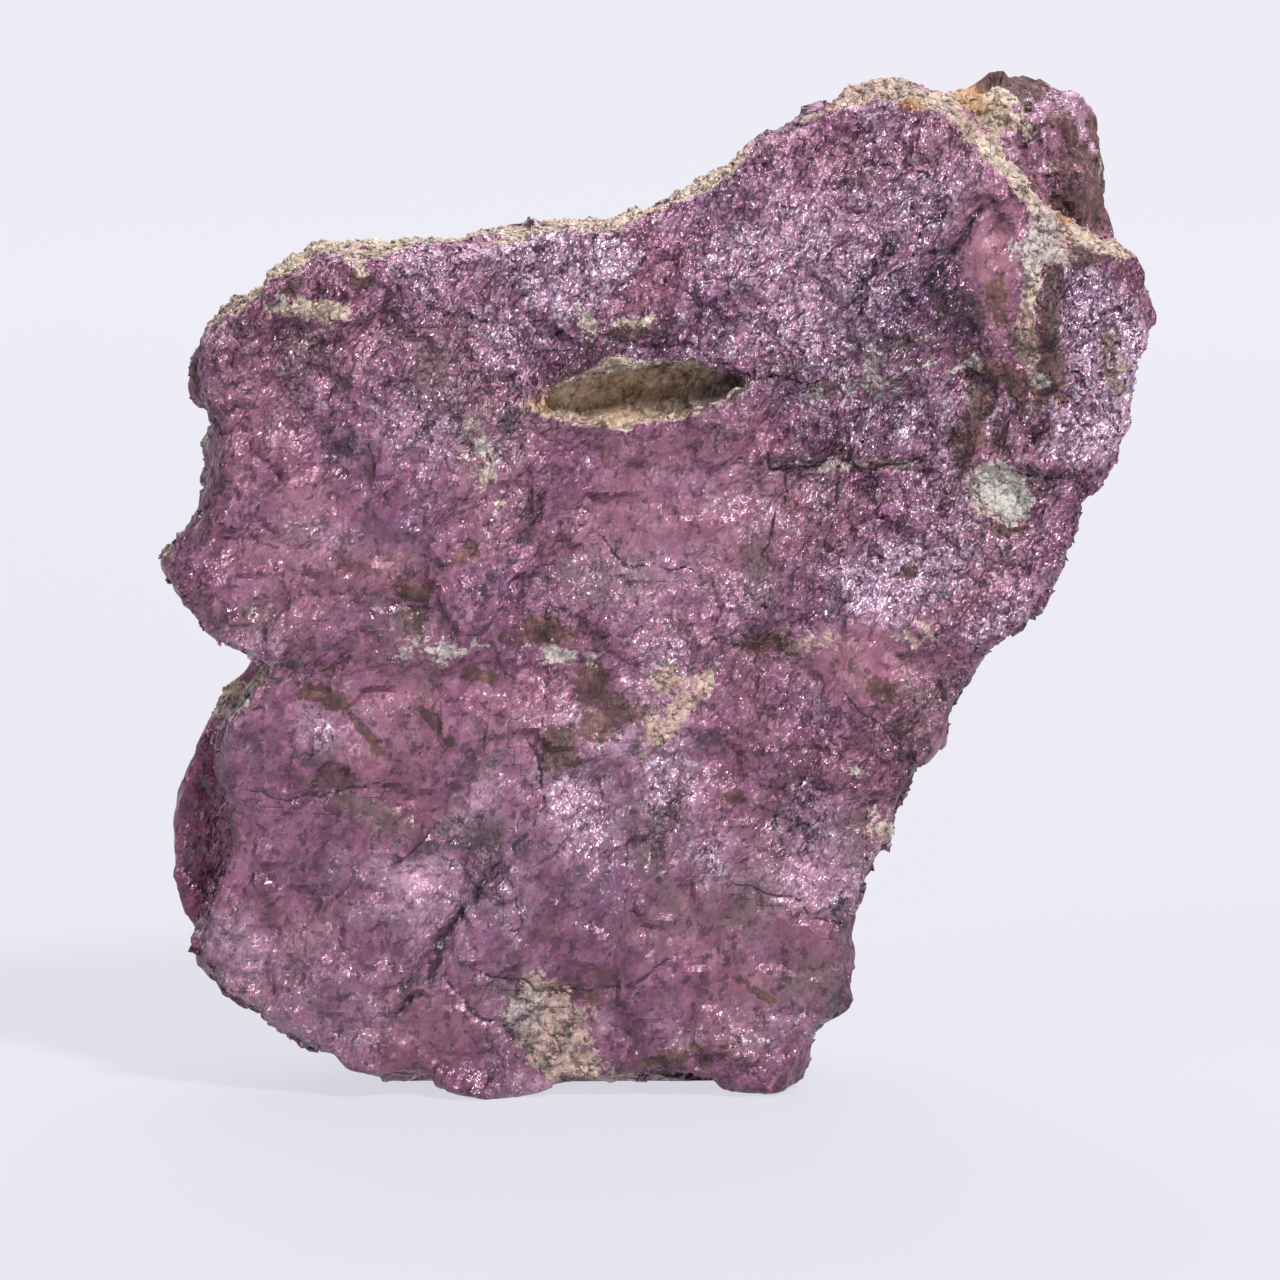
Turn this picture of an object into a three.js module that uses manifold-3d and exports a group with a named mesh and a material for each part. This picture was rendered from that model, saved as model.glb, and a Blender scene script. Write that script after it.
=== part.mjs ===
// A hand specimen of purpurite: one broken cleavage block of purple manganese phosphate, standing on its lower edge.
// A broad cleavage face looks towards -Y. Behind it lie a second, rougher layer and a lump at the upper right corner,
// and a granular pale vein fills the seam between that lump and the front layer.
// Units are millimetres, +Z is up, and the origin is at the middle of the block's bounding box, on the surface it rests on.
import * as THREE from "three";
import { mergeVertices } from "three/addons/utils/BufferGeometryUtils.js";
import Module from "manifold-3d";

// Driving dimensions
const FRONT = -9; // the front cleavage face
const BACK = 9; // the furthest part of the back
const FRONT_LAYER_END = -0.6; // where the front layer ends, on average
const END_WANDER = 2.4; // how far that end wanders towards the front or the back
const BACK_LAYER_START = -4; // where the second layer begins inside the front one
const RIM_INSET = 0.45; // how far the front rim is rounded in from the outline
const TRIMMING = 40; // the size of the block that trims the foot flat

// The front layer's outline, in X and Z, as its four broken edges. Opposite edges hold the same number of points.
const FRONT_LEFT = [
  [-27.3, 8.8], [-26.6, 10.7], [-25.8, 12.7], [-25.2, 14.6], [-25.0, 16.4], [-25.0, 18.2], [-25.3, 20.2],
  [-24.8, 22.0], [-24.0, 23.7], [-22.7, 25.5], [-24.3, 26.4], [-25.5, 27.4], [-26.6, 28.5], [-27.9, 29.7],
  [-28.4, 31.1], [-27.6, 32.5], [-26.6, 34.3], [-25.9, 36.3], [-25.6, 38.4], [-25.2, 40.0], [-26.8, 41.6],
  [-26.8, 43.3], [-25.9, 44.8], [-25.0, 45.8], [-23.9, 46.6],
];
const FRONT_RIGHT = [
  [7.5, -0.2], [8.2, 1.5], [9.1, 3.4], [10.4, 5.3], [11.0, 7.4], [11.1, 9.6], [11.5, 11.8], [12.7, 13.7],
  [13.8, 15.1], [14.2, 17.3], [15.2, 19.3], [16.4, 20.7], [17.3, 22.9], [18.4, 25.3], [19.6, 26.8], [21.2, 28.2],
  [22.9, 30.2], [24.1, 32.6], [24.9, 35.1], [25.9, 36.2], [26.6, 39.4], [27.5, 42.0], [28.7, 44.6], [28.4, 47.5],
  [26.5, 49.9],
];
const FRONT_BOTTOM = [
  [-27.3, 8.8], [-26.4, 7.0], [-25.0, 5.6], [-23.1, 4.5], [-21.3, 3.6], [-19.6, 2.5], [-18.1, 1.5], [-16.4, 1.0],
  [-14.8, 1.1], [-13.4, 0.9], [-12.0, 0.2], [-10.2, -0.4], [-8.3, -0.5], [-7.0, -0.1], [-5.4, 0.6], [-3.6, 0.9],
  [-1.8, 1.0], [0.0, 1.1], [1.8, 1.0], [3.4, 0.5], [4.9, 0.0], [6.2, -0.3], [7.5, -0.2],
];
const FRONT_TOP = [
  [-23.9, 46.6], [-21.8, 48.2], [-19.4, 49.3], [-16.6, 49.6], [-13.6, 49.6], [-10.6, 49.8], [-7.6, 50.4],
  [-4.6, 51.0], [-1.8, 51.5], [0.6, 52.1], [2.6, 53.2], [4.4, 54.6], [6.0, 56.0], [8.0, 56.9], [10.4, 58.1],
  [13.2, 58.9], [16.0, 58.2], [18.3, 56.6], [19.8, 54.5], [20.9, 52.1], [22.4, 50.3], [24.3, 49.9], [26.5, 49.9],
];

// The second layer's outline. It shows past the front layer at the lower left, and its foot is the flat spot.
const BACK_LEFT = [
  [-26.4, 7.6], [-28.3, 11.0], [-28.5, 15.0], [-27.6, 19.0], [-25.9, 22.4], [-23.6, 25.4], [-25.2, 29.0],
  [-26.0, 32.6], [-24.8, 37.4], [-23.8, 41.0], [-21.2, 44.4],
];
const BACK_RIGHT = [
  [7.0, -0.8], [8.8, 3.4], [10.3, 8.0], [12.4, 13.2], [15.4, 19.4], [18.2, 24.6], [21.4, 29.0], [24.4, 34.6],
  [26.4, 40.0], [27.2, 44.6], [25.8, 48.4],
];
const BACK_BOTTOM = [
  [-26.4, 7.6], [-21.8, 3.9], [-16.8, 0.5], [-12.4, -0.8], [-7.4, -0.8], [-2.6, -0.8], [2.2, -0.8], [7.0, -0.8],
];
const BACK_TOP = [
  [-21.2, 44.4], [-15.2, 47.4], [-8.6, 48.5], [-1.2, 49.6], [4.8, 52.6], [11.0, 56.0], [19.2, 54.6], [25.8, 48.4],
];

// The lump behind the upper right corner
const LUMP_FRONT = -1.5;
const LUMP_BACK = 8.6;
const LUMP_LEFT = [[10.0, 46.0], [9.8, 52.4], [10.9, 58.2]];
const LUMP_RIGHT = [[26.8, 45.4], [26.1, 51.8], [24.4, 57.2]];
const LUMP_BOTTOM = [[10.0, 46.0], [18.4, 44.6], [26.8, 45.4]];
const LUMP_TOP = [[10.9, 58.2], [13.6, 59.1], [17.0, 58.3], [20.8, 58.8], [24.4, 57.2]];

// The pale vein along the seam between the front layer and the lump, in X, Y and Z
const VEIN = [
  [10.4, -6.2, 57.5], [12.8, -6.5, 58.4], [14.8, -6.7, 58.4], [16.9, -6.9, 57.4], [18.5, -7.0, 56.0],
  [19.9, -7.0, 54.3], [21.5, -6.9, 52.1], [23.2, -6.6, 50.6], [24.9, -6.0, 49.8], [26.3, -4.8, 49.3],
];
const VEIN_RADIUS = 0.95;

// Broken planes that take the back's corners off: each is a depth at a place, with its slopes along X and Z
const BACK_PLANES = [
  { at: [0, 25], depth: BACK, slopeX: 0.05, slopeZ: -0.02 },
  { at: [-12, 42], depth: 6, slopeX: 0.22, slopeZ: -0.42 },
  { at: [22, 36], depth: 6.4, slopeX: -0.6, slopeZ: 0.1 },
  { at: [-21, 14], depth: 6.4, slopeX: 0.62, slopeZ: 0.2 },
  { at: [8, 16], depth: 7.6, slopeX: -0.34, slopeZ: 0.12 },
];

// Steps of the front face: a cleavage sheet ends along each line, and what lies to its left stands forward by the height
const FRONT_STEPS = [
  { line: [[-24, 26.0], [-14, 25.6], [-5, 26.8], [1, 26.0], [8, 27.8], [20, 26.6]], height: 0.9, width: 0.6 },
  { line: [[22.8, 51.2], [22.0, 46.8], [21.6, 42.4], [20.0, 39.2], [17.6, 36.4]], height: 1.1, width: 0.7 },
  { line: [[6.8, 37.4], [11, 37.2], [14.8, 37.1]], height: 0.6, width: 0.45 },
  { line: [[19.2, 52.2], [18.4, 50.8], [16.8, 49.0], [15.2, 47.2]], height: -0.9, width: 0.5 },
];
const STEP_REACH = 5; // a step fades out this far from its line

const LENS_TIP = 0.15; // how much of its height a pointed pocket keeps at its tips
// Pockets cut into the block: where, the half sizes, and the turns about Y (in the face) and about X (its plunge)
const POCKETS = [
  { name: "lens pocket", at: [-1.0, -8.7, 41.4], half: [6.7, 2.5, 1.8], turn: -6, plunge: -24, pointed: true },
  { name: "small pale pocket", at: [-20.2, -8.8, 46.5], half: [2.5, 1.2, 0.5], turn: 4, plunge: -16 },
  { name: "dark cleft", at: [-12.3, -9.6, 9.7], half: [5.0, 1.2, 0.36], turn: -57, plunge: 0 },
  { name: "cleft by the vein", at: [17.2, -9.5, 49.8], half: [2.8, 1.1, 0.3], turn: -51, plunge: 0 },
  { name: "hole under the vein", at: [17.8, -8.8, 42.5], half: [0.8, 1.2, 0.55], turn: 0, plunge: 0 },
  { name: "pale window", at: [19.7, -9.3, 35.8], half: [1.9, 0.7, 1.5], turn: 35, plunge: 0 },
  { name: "side notch", at: [-24.9, -3.4, 24.8], half: [2.4, 2.0, 2.4], turn: -40, plunge: 0 },
];

const clamp = (value, low, high) => Math.min(high, Math.max(low, value));
const mix = (a, b, share) => a + (b - a) * share;
const smooth = (share) => share * share * (3 - 2 * share);

// A repeatable number from 0 to 1 for a cell of a lattice.
function cellNumber(x, y, z, seed) {
  let h = Math.imul(x, 374761393) ^ Math.imul(y, 668265263) ^ Math.imul(z, 2147483647) ^ Math.imul(seed, 1274126177);
  h = Math.imul(h ^ (h >>> 13), 1103515245);
  h = Math.imul(h ^ (h >>> 16), 2246822519);
  return ((h ^ (h >>> 15)) >>> 0) / 4294967296;
}

// Rolling relief from -1 to 1, with hills about one size apart.
function rolling(p, size, seed) {
  const at = [p.x / size, p.y / size, p.z / size];
  const low = at.map(Math.floor);
  const share = at.map((value, i) => smooth(value - low[i]));
  let sum = 0;
  for (let corner = 0; corner < 8; corner++) {
    const step = [corner & 1, (corner >> 1) & 1, corner >> 2];
    const weight = step.reduce((w, s, i) => w * (s ? share[i] : 1 - share[i]), 1);
    sum += weight * cellNumber(low[0] + step[0], low[1] + step[1], low[2] + step[2], seed);
  }
  return sum * 2 - 1;
}

// Broken, nearly flat facets about one size across, each with its own level and tilt.
function broken(p, size, tilt, crispness, seed) {
  const at = [p.x / size, p.y / size, p.z / size];
  const low = at.map(Math.floor);
  let sum = 0;
  let weights = 0;
  for (let i = -1; i <= 1; i++)
    for (let j = -1; j <= 1; j++)
      for (let k = -1; k <= 1; k++) {
        const cell = [low[0] + i, low[1] + j, low[2] + k];
        const away = cell.map((c, axis) => at[axis] - c - cellNumber(...cell, seed + axis));
        const distance = away[0] ** 2 + away[1] ** 2 + away[2] ** 2;
        const level = cellNumber(...cell, seed + 3) * 2 - 1;
        const slope = away.reduce((s, a, axis) => s + a * (cellNumber(...cell, seed + 4 + axis) * 2 - 1), 0);
        const weight = Math.exp(-crispness * distance);
        sum += weight * (level + tilt * slope);
        weights += weight;
      }
  return sum / weights;
}

// The signed distance of a place on the face from a line of points, positive to the left of its direction.
function fromLine(x, z, line) {
  let best = Infinity;
  let side = 1;
  for (let i = 1; i < line.length; i++) {
    const [ax, az] = line[i - 1];
    const [bx, bz] = line[i];
    const along = [bx - ax, bz - az];
    const share = clamp(((x - ax) * along[0] + (z - az) * along[1]) / (along[0] ** 2 + along[1] ** 2), 0, 1);
    const gap = Math.hypot(x - ax - along[0] * share, z - az - along[1] * share);
    if (gap < best) {
      best = gap;
      side = along[0] * (z - az) - along[1] * (x - ax) > 0 ? 1 : -1;
    }
  }
  return best * side;
}

// The front cleavage face: almost flat, with steps where sheets end, a turned-back right shoulder and a sagging rim.
function frontDepth(x, z) {
  let depth = FRONT;
  for (const step of FRONT_STEPS) {
    const gap = fromLine(x, z, step.line);
    const fade = clamp(1 - Math.abs(gap) / STEP_REACH, 0, 1);
    depth -= step.height * fade * clamp(gap / step.width, -1, 1) * 0.5;
  }
  const shoulder = Math.max(0, x - 21.5) * smooth(clamp((z - 30) / 10, 0, 1));
  const upperRim = Math.max(0, z - 53);
  const lowerLeft = Math.max(0, -(x + 19)) * smooth(clamp((28 - z) / 10, 0, 1));
  const p = new THREE.Vector3(x, 0, z);
  return depth + 0.34 * shoulder + 0.16 * upperRim + 0.2 * lowerLeft
    + 0.5 * rolling(p, 13, 11) + 0.42 * broken(p, 6, 1.5, 34, 12) + 0.22 * broken(p, 2.8, 1.5, 22, 13);
}

// The back: the nearest of a few broken planes at each place.
const backDepth = (x, z) =>
  Math.min(...BACK_PLANES.map(({ at, depth, slopeX, slopeZ }) => depth + slopeX * (x - at[0]) + slopeZ * (z - at[1])));

const edgeCurve = (points) =>
  new THREE.CatmullRomCurve3(points.map(([x, z]) => new THREE.Vector3(x, 0, z)), false, "catmullrom", 0.35);

// A patch stretched between four edges: across and up run from 0 to 1.
function patchBetween(left, right, bottom, top) {
  const [leftEdge, rightEdge, bottomEdge, topEdge] = [left, right, bottom, top].map(edgeCurve);
  const corner = ([x, z]) => new THREE.Vector3(x, 0, z);
  const [lowLeft, lowRight] = [corner(bottom[0]), corner(bottom.at(-1))];
  const [highLeft, highRight] = [corner(top[0]), corner(top.at(-1))];
  return (across, up) => {
    const sides = leftEdge.getPoint(up).lerp(rightEdge.getPoint(up), across);
    const ends = bottomEdge.getPoint(across).lerp(topEdge.getPoint(across), up);
    const corners = lowLeft.clone().lerp(lowRight, across).lerp(highLeft.clone().lerp(highRight, across), up);
    return sides.add(ends).sub(corners);
  };
}

// A box whose faces are bent onto a patch: girth(share) scales the outline from front to back about the patch's middle.
function layer(patch, { columns, rings, rows, front, back, girth }) {
  const geometry = new THREE.BoxGeometry(1, 1, 1, columns, rings, rows);
  const position = geometry.getAttribute("position");
  const middle = patch(0.5, 0.5);
  for (let i = 0; i < position.count; i++) {
    const [across, share, up] = [position.getX(i) + 0.5, position.getY(i) + 0.5, position.getZ(i) + 0.5];
    const place = patch(across, up).sub(middle).multiplyScalar(girth(share)).add(middle);
    position.setXYZ(i, place.x, mix(front(place.x, place.z), back(place.x, place.z), share), place.z);
  }
  return weld(geometry);
}

// Keeps position only, so that the faces share their vertices.
function weld(geometry) {
  geometry.deleteAttribute("normal");
  geometry.deleteAttribute("uv");
  return mergeVertices(geometry, 1e-4);
}

// Moves every vertex along its own normal by relief(place, normal).
function roughen(geometry, relief) {
  geometry.computeVertexNormals();
  const position = geometry.getAttribute("position");
  const normals = geometry.getAttribute("normal");
  const place = new THREE.Vector3();
  const normal = new THREE.Vector3();
  for (let i = 0; i < position.count; i++) {
    place.fromBufferAttribute(position, i);
    normal.fromBufferAttribute(normals, i);
    place.addScaledVector(normal, relief(place.clone(), normal));
    position.setXYZ(i, place.x, place.y, place.z);
  }
  geometry.deleteAttribute("normal");
  return geometry;
}

// Broken edges show the ends of stacked cleavage sheets, so their relief changes from sheet to sheet.
function sheetEnds(p, thickness, seed) {
  const sheet = Math.round(p.y / thickness);
  return rolling(new THREE.Vector3(p.x, sheet * 31, p.z), 5, seed);
}

function frontLayer() {
  const patch = patchBetween(FRONT_LEFT, FRONT_RIGHT, FRONT_BOTTOM, FRONT_TOP);
  const width = 54;
  const geometry = layer(patch, {
    columns: 34, rings: 5, rows: 41,
    front: frontDepth,
    back: (x, z) => FRONT_LAYER_END + END_WANDER * rolling(new THREE.Vector3(x, 0, z), 11, 23),
    girth: (share) => 1 - (share < 0.1 ? (2 * RIM_INSET) / width : 0) - 0.03 * Math.max(0, share - 0.4),
  });
  return roughen(geometry, (p, normal) => {
    const edge = 1 - Math.abs(normal.y);
    const away = smooth(clamp((p.y - FRONT) / 4, 0, 1));
    return edge * away * (0.7 * sheetEnds(p, 1.7, 21) + 0.5 * broken(p, 3.4, 1.3, 24, 22));
  });
}

function backLayer() {
  const patch = patchBetween(BACK_LEFT, BACK_RIGHT, BACK_BOTTOM, BACK_TOP);
  const geometry = layer(patch, {
    columns: 22, rings: 6, rows: 24,
    front: () => BACK_LAYER_START,
    back: backDepth,
    girth: (share) => 1 - 0.1 * smooth(Math.max(0, share - 0.35) / 0.65),
  });
  return roughen(geometry, (p, normal) => {
    const edge = 1 - Math.abs(normal.y);
    const face = smooth(clamp((p.y - 2) / 4, 0, 1));
    return edge * 0.9 * sheetEnds(p, 2, 31) + face * (1.5 * broken(p, 9, 1.6, 34, 32) + 0.7 * broken(p, 4.4, 1.5, 20, 33));
  });
}

function cornerLump() {
  const patch = patchBetween(LUMP_LEFT, LUMP_RIGHT, LUMP_BOTTOM, LUMP_TOP);
  const geometry = layer(patch, {
    columns: 10, rings: 6, rows: 8,
    front: (x, z) => LUMP_FRONT + 0.25 * Math.max(0, x - 18) + 0.2 * Math.max(0, z - 52),
    back: (x, z) => Math.min(LUMP_BACK, backDepth(x, z) + 2.4),
    girth: (share) => 1 - 0.14 * (2 * share - 0.9) ** 2,
  });
  return roughen(geometry, (p) => 0.8 * broken(p, 6, 1.4, 20, 41) + 0.25 * broken(p, 3, 1.3, 10, 42));
}

// A granular ridge along the seam, thicker and thinner as it goes.
function seamVein() {
  const path = new THREE.CatmullRomCurve3(VEIN.map((point) => new THREE.Vector3(...point)));
  const sides = 7;
  const section = new THREE.Shape(
    Array.from({ length: sides }, (_, i) => {
      const angle = (i / sides) * 2 * Math.PI;
      return new THREE.Vector2(Math.cos(angle), Math.sin(angle)).multiplyScalar(VEIN_RADIUS);
    }),
  );
  const tube = new THREE.ExtrudeGeometry(section, { steps: 24, extrudePath: path, curveSegments: 1 });
  return roughen(weld(tube), (p) => 0.3 * rolling(p, 1.6, 51));
}

const wasm = await Module();
wasm.setup();

// A closed geometry as a solid that can be joined and cut.
function solidOf(geometry) {
  const merged = mergeVertices(geometry, 1e-4);
  return new wasm.Manifold(
    new wasm.Mesh({
      numProp: 3,
      vertProperties: new Float32Array(merged.attributes.position.array),
      triVerts: new Uint32Array(merged.index.array),
    }),
  );
}

function geometryOf(solid) {
  const mesh = solid.getMesh();
  const geometry = new THREE.BufferGeometry();
  geometry.setAttribute("position", new THREE.BufferAttribute(new Float32Array(mesh.vertProperties), 3));
  geometry.setIndex(new THREE.BufferAttribute(new Uint32Array(mesh.triVerts), 1));
  return geometry;
}

// A ball becomes a lens: its height shrinks towards both ends of X
function narrowTowardsTips(geometry) {
  const points = geometry.attributes.position;
  for (let i = 0; i < points.count; i++) {
    const share = Math.sqrt(Math.max(0, 1 - points.getX(i) ** 2));
    points.setZ(i, points.getZ(i) * (LENS_TIP + (1 - LENS_TIP) * share));
  }
}

function pocket({ at, half, turn, plunge, pointed }) {
  const geometry = weld(new THREE.SphereGeometry(1, 14, 7));
  if (pointed) narrowTowardsTips(geometry);
  geometry.scale(...half);
  roughen(geometry, (p) => 0.12 * rolling(p, 1.3, 61));
  geometry.rotateX(THREE.MathUtils.degToRad(plunge));
  geometry.rotateY(THREE.MathUtils.degToRad(turn));
  geometry.translate(...at);
  return solidOf(geometry);
}

// What lies below the surface that the block rests on.
function belowFoot() {
  const geometry = weld(new THREE.BoxGeometry(2 * TRIMMING, 2 * TRIMMING, TRIMMING));
  geometry.translate(0, 0, -TRIMMING / 2);
  return solidOf(geometry);
}

function purpuriteBlock() {
  const layers = [frontLayer(), backLayer(), cornerLump(), seamVein()].map(solidOf);
  const joined = layers.reduce((whole, next) => whole.add(next));
  const hollowed = POCKETS.map(pocket).reduce((whole, cutter) => whole.subtract(cutter), joined);
  const geometry = geometryOf(hollowed.subtract(belowFoot()));
  geometry.computeBoundingBox();
  const middle = geometry.boundingBox.getCenter(new THREE.Vector3());
  return geometry.translate(-middle.x, -middle.y, -geometry.boundingBox.min.z);
}

const purple = new THREE.MeshStandardMaterial({ color: 0x7d4f72, roughness: 0.45, metalness: 0.25, flatShading: true });
const specimen = new THREE.Mesh(purpuriteBlock(), purple);
specimen.name = "purpurite_block";

const part = new THREE.Group();
part.add(specimen);

export default part;
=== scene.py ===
# %% [markdown]
# # A hand specimen of purpurite
# Purpurite is a purple manganese phosphate. It breaks along flat cleavage sheets whose torn ends glint like
# foil, and it grows with cream and grey matrix and brown iron stain. This file dresses the plain solid: it
# makes a fine surface over it, works out where each mineral shows, and gives it one layered finish.

# %% Load the stone's plain solid
import itertools
import math

import bmesh
import bpy
import numpy as np
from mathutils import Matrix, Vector


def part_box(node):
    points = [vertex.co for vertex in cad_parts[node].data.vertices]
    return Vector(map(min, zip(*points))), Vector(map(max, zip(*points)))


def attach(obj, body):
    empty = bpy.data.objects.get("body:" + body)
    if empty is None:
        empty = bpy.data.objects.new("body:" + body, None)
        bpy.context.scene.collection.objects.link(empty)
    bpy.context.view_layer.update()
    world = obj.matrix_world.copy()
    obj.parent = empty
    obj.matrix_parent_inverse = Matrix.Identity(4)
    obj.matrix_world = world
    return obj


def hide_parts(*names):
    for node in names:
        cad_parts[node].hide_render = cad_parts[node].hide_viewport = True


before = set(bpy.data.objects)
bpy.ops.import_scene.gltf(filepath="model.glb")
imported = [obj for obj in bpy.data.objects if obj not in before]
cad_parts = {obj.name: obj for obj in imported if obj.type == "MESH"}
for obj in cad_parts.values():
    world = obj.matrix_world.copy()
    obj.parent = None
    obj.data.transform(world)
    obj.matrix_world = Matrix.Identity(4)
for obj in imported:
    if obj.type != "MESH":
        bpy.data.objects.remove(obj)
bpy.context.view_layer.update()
MM = 0.001
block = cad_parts["purpurite_block"]
low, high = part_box("purpurite_block")
print("solid:", len(block.data.polygons), "triangles,", [round(side / MM, 1) for side in high - low], "mm")

# %% [markdown]
# ## The fine surface
# The solid has facets of a millimetre or two. A voxel remesh covers it with even little squares of about
# 0.3 mm, which is fine enough for grains and cleavage steps, and which keeps its shape and its hollows.
# Sculpting by hand could do the same, but a remesh gives the same result each time.

# %% Cover the solid with small even faces
def in_scene(name, data):
    """A new object in the scene."""
    thing = bpy.data.objects.new(name, data)
    bpy.context.scene.collection.objects.link(thing)
    return thing


VOXEL = 0.336 * MM
WELD_DISTANCE = 0.002 * MM
SOFTENING_ROUNDS = 3


def fine_copy(solid, name):
    """A copy of a solid, covered with small even faces."""
    mesh = solid.data.copy()
    welded = bmesh.new()
    welded.from_mesh(mesh)
    bmesh.ops.remove_doubles(welded, verts=welded.verts, dist=WELD_DISTANCE)
    welded.to_mesh(mesh)
    welded.free()
    coarse = in_scene(name, mesh)
    remesh = coarse.modifiers.new("even_faces", "REMESH")
    remesh.mode = "VOXEL"
    remesh.voxel_size = VOXEL
    remesh.adaptivity = 0.0
    graph = bpy.context.evaluated_depsgraph_get()
    fine = bpy.data.meshes.new_from_object(coarse.evaluated_get(graph))
    fine.name = name
    bpy.data.objects.remove(coarse)
    return in_scene(name, fine)


def soften(mesh, rounds):
    """Moves every point halfway to the middle of its neighbours, a few times over."""
    count = len(mesh.vertices)
    edges = np.zeros(len(mesh.edges) * 2, np.int32)
    mesh.edges.foreach_get("vertices", edges)
    ends = edges.reshape(-1, 2)
    places = np.zeros(count * 3)
    mesh.vertices.foreach_get("co", places)
    places = places.reshape(-1, 3)
    neighbours = np.bincount(ends.ravel(), minlength=count)[:, None]
    for _ in range(rounds):
        total = np.zeros_like(places)
        np.add.at(total, ends[:, 0], places[ends[:, 1]])
        np.add.at(total, ends[:, 1], places[ends[:, 0]])
        places = 0.5 * places + 0.5 * total / neighbours
    mesh.vertices.foreach_set("co", places.ravel())
    mesh.update()


stone = fine_copy(block, "purpurite_stone")
soften(stone.data, SOFTENING_ROUNDS)
print("fine surface:", len(stone.data.vertices), "points,", len(stone.data.polygons), "faces")

# %% [markdown]
# ## Relief that repeats exactly
# Stone has soft hills, and broken facets that are nearly flat and change level at their edges. Both come
# from a lattice whose cells each hold their own repeatable numbers, so the stone is the same every time.

# %% Lattice numbers, hills and broken facets
def cell_number(cells, seed):
    """A repeatable number from 0 to 1 for each lattice cell."""
    n = cells.astype(np.int64).view(np.uint64)
    mixed = n[:, 0] * np.uint64(374761393) + n[:, 1] * np.uint64(668265263)
    mixed = mixed + n[:, 2] * np.uint64(2147483647)
    mixed = (mixed + np.uint64(seed * 1274126177)) & np.uint64(0xFFFFFFFF)
    mixed = ((mixed ^ (mixed >> np.uint64(13))) * np.uint64(1103515245)) & np.uint64(0xFFFFFFFF)
    mixed = ((mixed ^ (mixed >> np.uint64(16))) * np.uint64(2246822519)) & np.uint64(0xFFFFFFFF)
    return (mixed ^ (mixed >> np.uint64(15))).astype(float) / 0xFFFFFFFF


def hills(places, size, seed):
    """Soft relief from -1 to 1, with hills about one size apart."""
    scaled = places / size
    corner = np.floor(scaled).astype(np.int64)
    share = scaled - corner
    share = share * share * (3 - 2 * share)
    total = np.zeros(len(places))
    for step in itertools.product((0, 1), repeat=3):
        weight = np.prod(np.where(np.array(step) == 1, share, 1 - share), axis=1)
        total += weight * cell_number(corner + np.array(step), seed)
    return 2 * total - 1


def facets(places, size, tilt, crispness, seed):
    """Broken facets about one size across, each with its own level and tilt."""
    scaled = places / size
    corner = np.floor(scaled).astype(np.int64)
    total = np.zeros(len(places))
    weights = np.full(len(places), 1e-12)
    for step in itertools.product((-1, 0, 1), repeat=3):
        cell = corner + np.array(step)
        middle = np.stack([cell_number(cell, seed + axis) for axis in range(3)], axis=1)
        away = scaled - cell - middle
        slope = sum(away[:, axis] * (2 * cell_number(cell, seed + 4 + axis) - 1) for axis in range(3))
        weight = np.exp(-crispness * (away ** 2).sum(axis=1))
        total += weight * (2 * cell_number(cell, seed + 3) - 1 + tilt * slope)
        weights += weight
    return total / weights


origin = np.zeros((1, 3))
print("hills at the origin:", hills(origin, 1.0, 1), "facets:", facets(origin, 1.0, 1, 40, 1))

# %% [markdown]
# ## Where each mineral shows, and where light and shade are painted
# The front face has a map of its own. Each patch is an ellipse on the face, in millimetres, whose edge the
# finish tears. It holds where it is across and up, its half sizes, its turn in degrees, and how strongly it
# shows. Elsewhere the minerals follow the stone's own relief, its seams and its edges. A few patches paint
# light and shade instead of a mineral: a painted highlight along the lower right edge, and painted shade in
# a hole and along a cleft. The glinting patches get a painted sheen as well as real gloss.

# %% Read the places and the way that the surface faces
def point_values(mesh):
    """Each point's place in mm and the direction that the surface faces there."""
    places = np.zeros(len(mesh.vertices) * 3)
    mesh.vertices.foreach_get("co", places)
    normals = np.zeros(len(mesh.vertices) * 3)
    mesh.vertices.foreach_get("normal", normals)
    return places.reshape(-1, 3) / MM, normals.reshape(-1, 3)


def rise(value, reach):
    """0 where a value is below 0, and 1 from its reach on."""
    return np.clip(value / reach, 0, 1)


places, normals = point_values(stone.data)
across, deep, up = places.T
FRONT_END = -5.5  # the front face's own relief reaches this deep into the stone
MAP_END = -2.0  # the front map's patches reach this deep
facing_front = rise(FRONT_END - deep, 1.5) * rise(-normals[:, 1] - 0.1, 0.3)
in_front_zone = rise(MAP_END - deep, 1.5)
print("front points:", int((facing_front > 0.5).sum()))

# %% Patches, lines and how near the surface is to them
sway_across = 0.6 * hills(places, 2.3, 61) + 0.3 * hills(places, 0.9, 62)
sway_up = 0.6 * hills(places, 2.3, 63) + 0.3 * hills(places, 0.9, 64)


def face_offsets(x, z, half_x, half_z, turn, loose=0.25):
    """How far each place is from a patch's middle, along it and across it, in half sizes."""
    angle = math.radians(turn)
    right = across + loose * sway_across - x
    higher = up + loose * sway_up - z
    u = (right * math.cos(angle) + higher * math.sin(angle)) / half_x
    v = (higher * math.cos(angle) - right * math.sin(angle)) / half_z
    return u, v


def patch_field(patches):
    """1 in a patch's middle, 0 at its edge and less outside it, for the strongest patch at each place."""
    field = np.full(len(places), -1.0)
    for x, z, half_x, half_z, turn, strength in patches:
        loose = min(1.0, 0.35 + 0.4 * min(half_x, half_z))
        u, v = face_offsets(x, z, half_x, half_z, turn, loose)
        field = np.maximum(field, np.clip(strength * (1 - np.hypot(u, v)), -1, 1))
    return np.where(in_front_zone > 0, field * in_front_zone - (1 - in_front_zone), -1.0)


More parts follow.
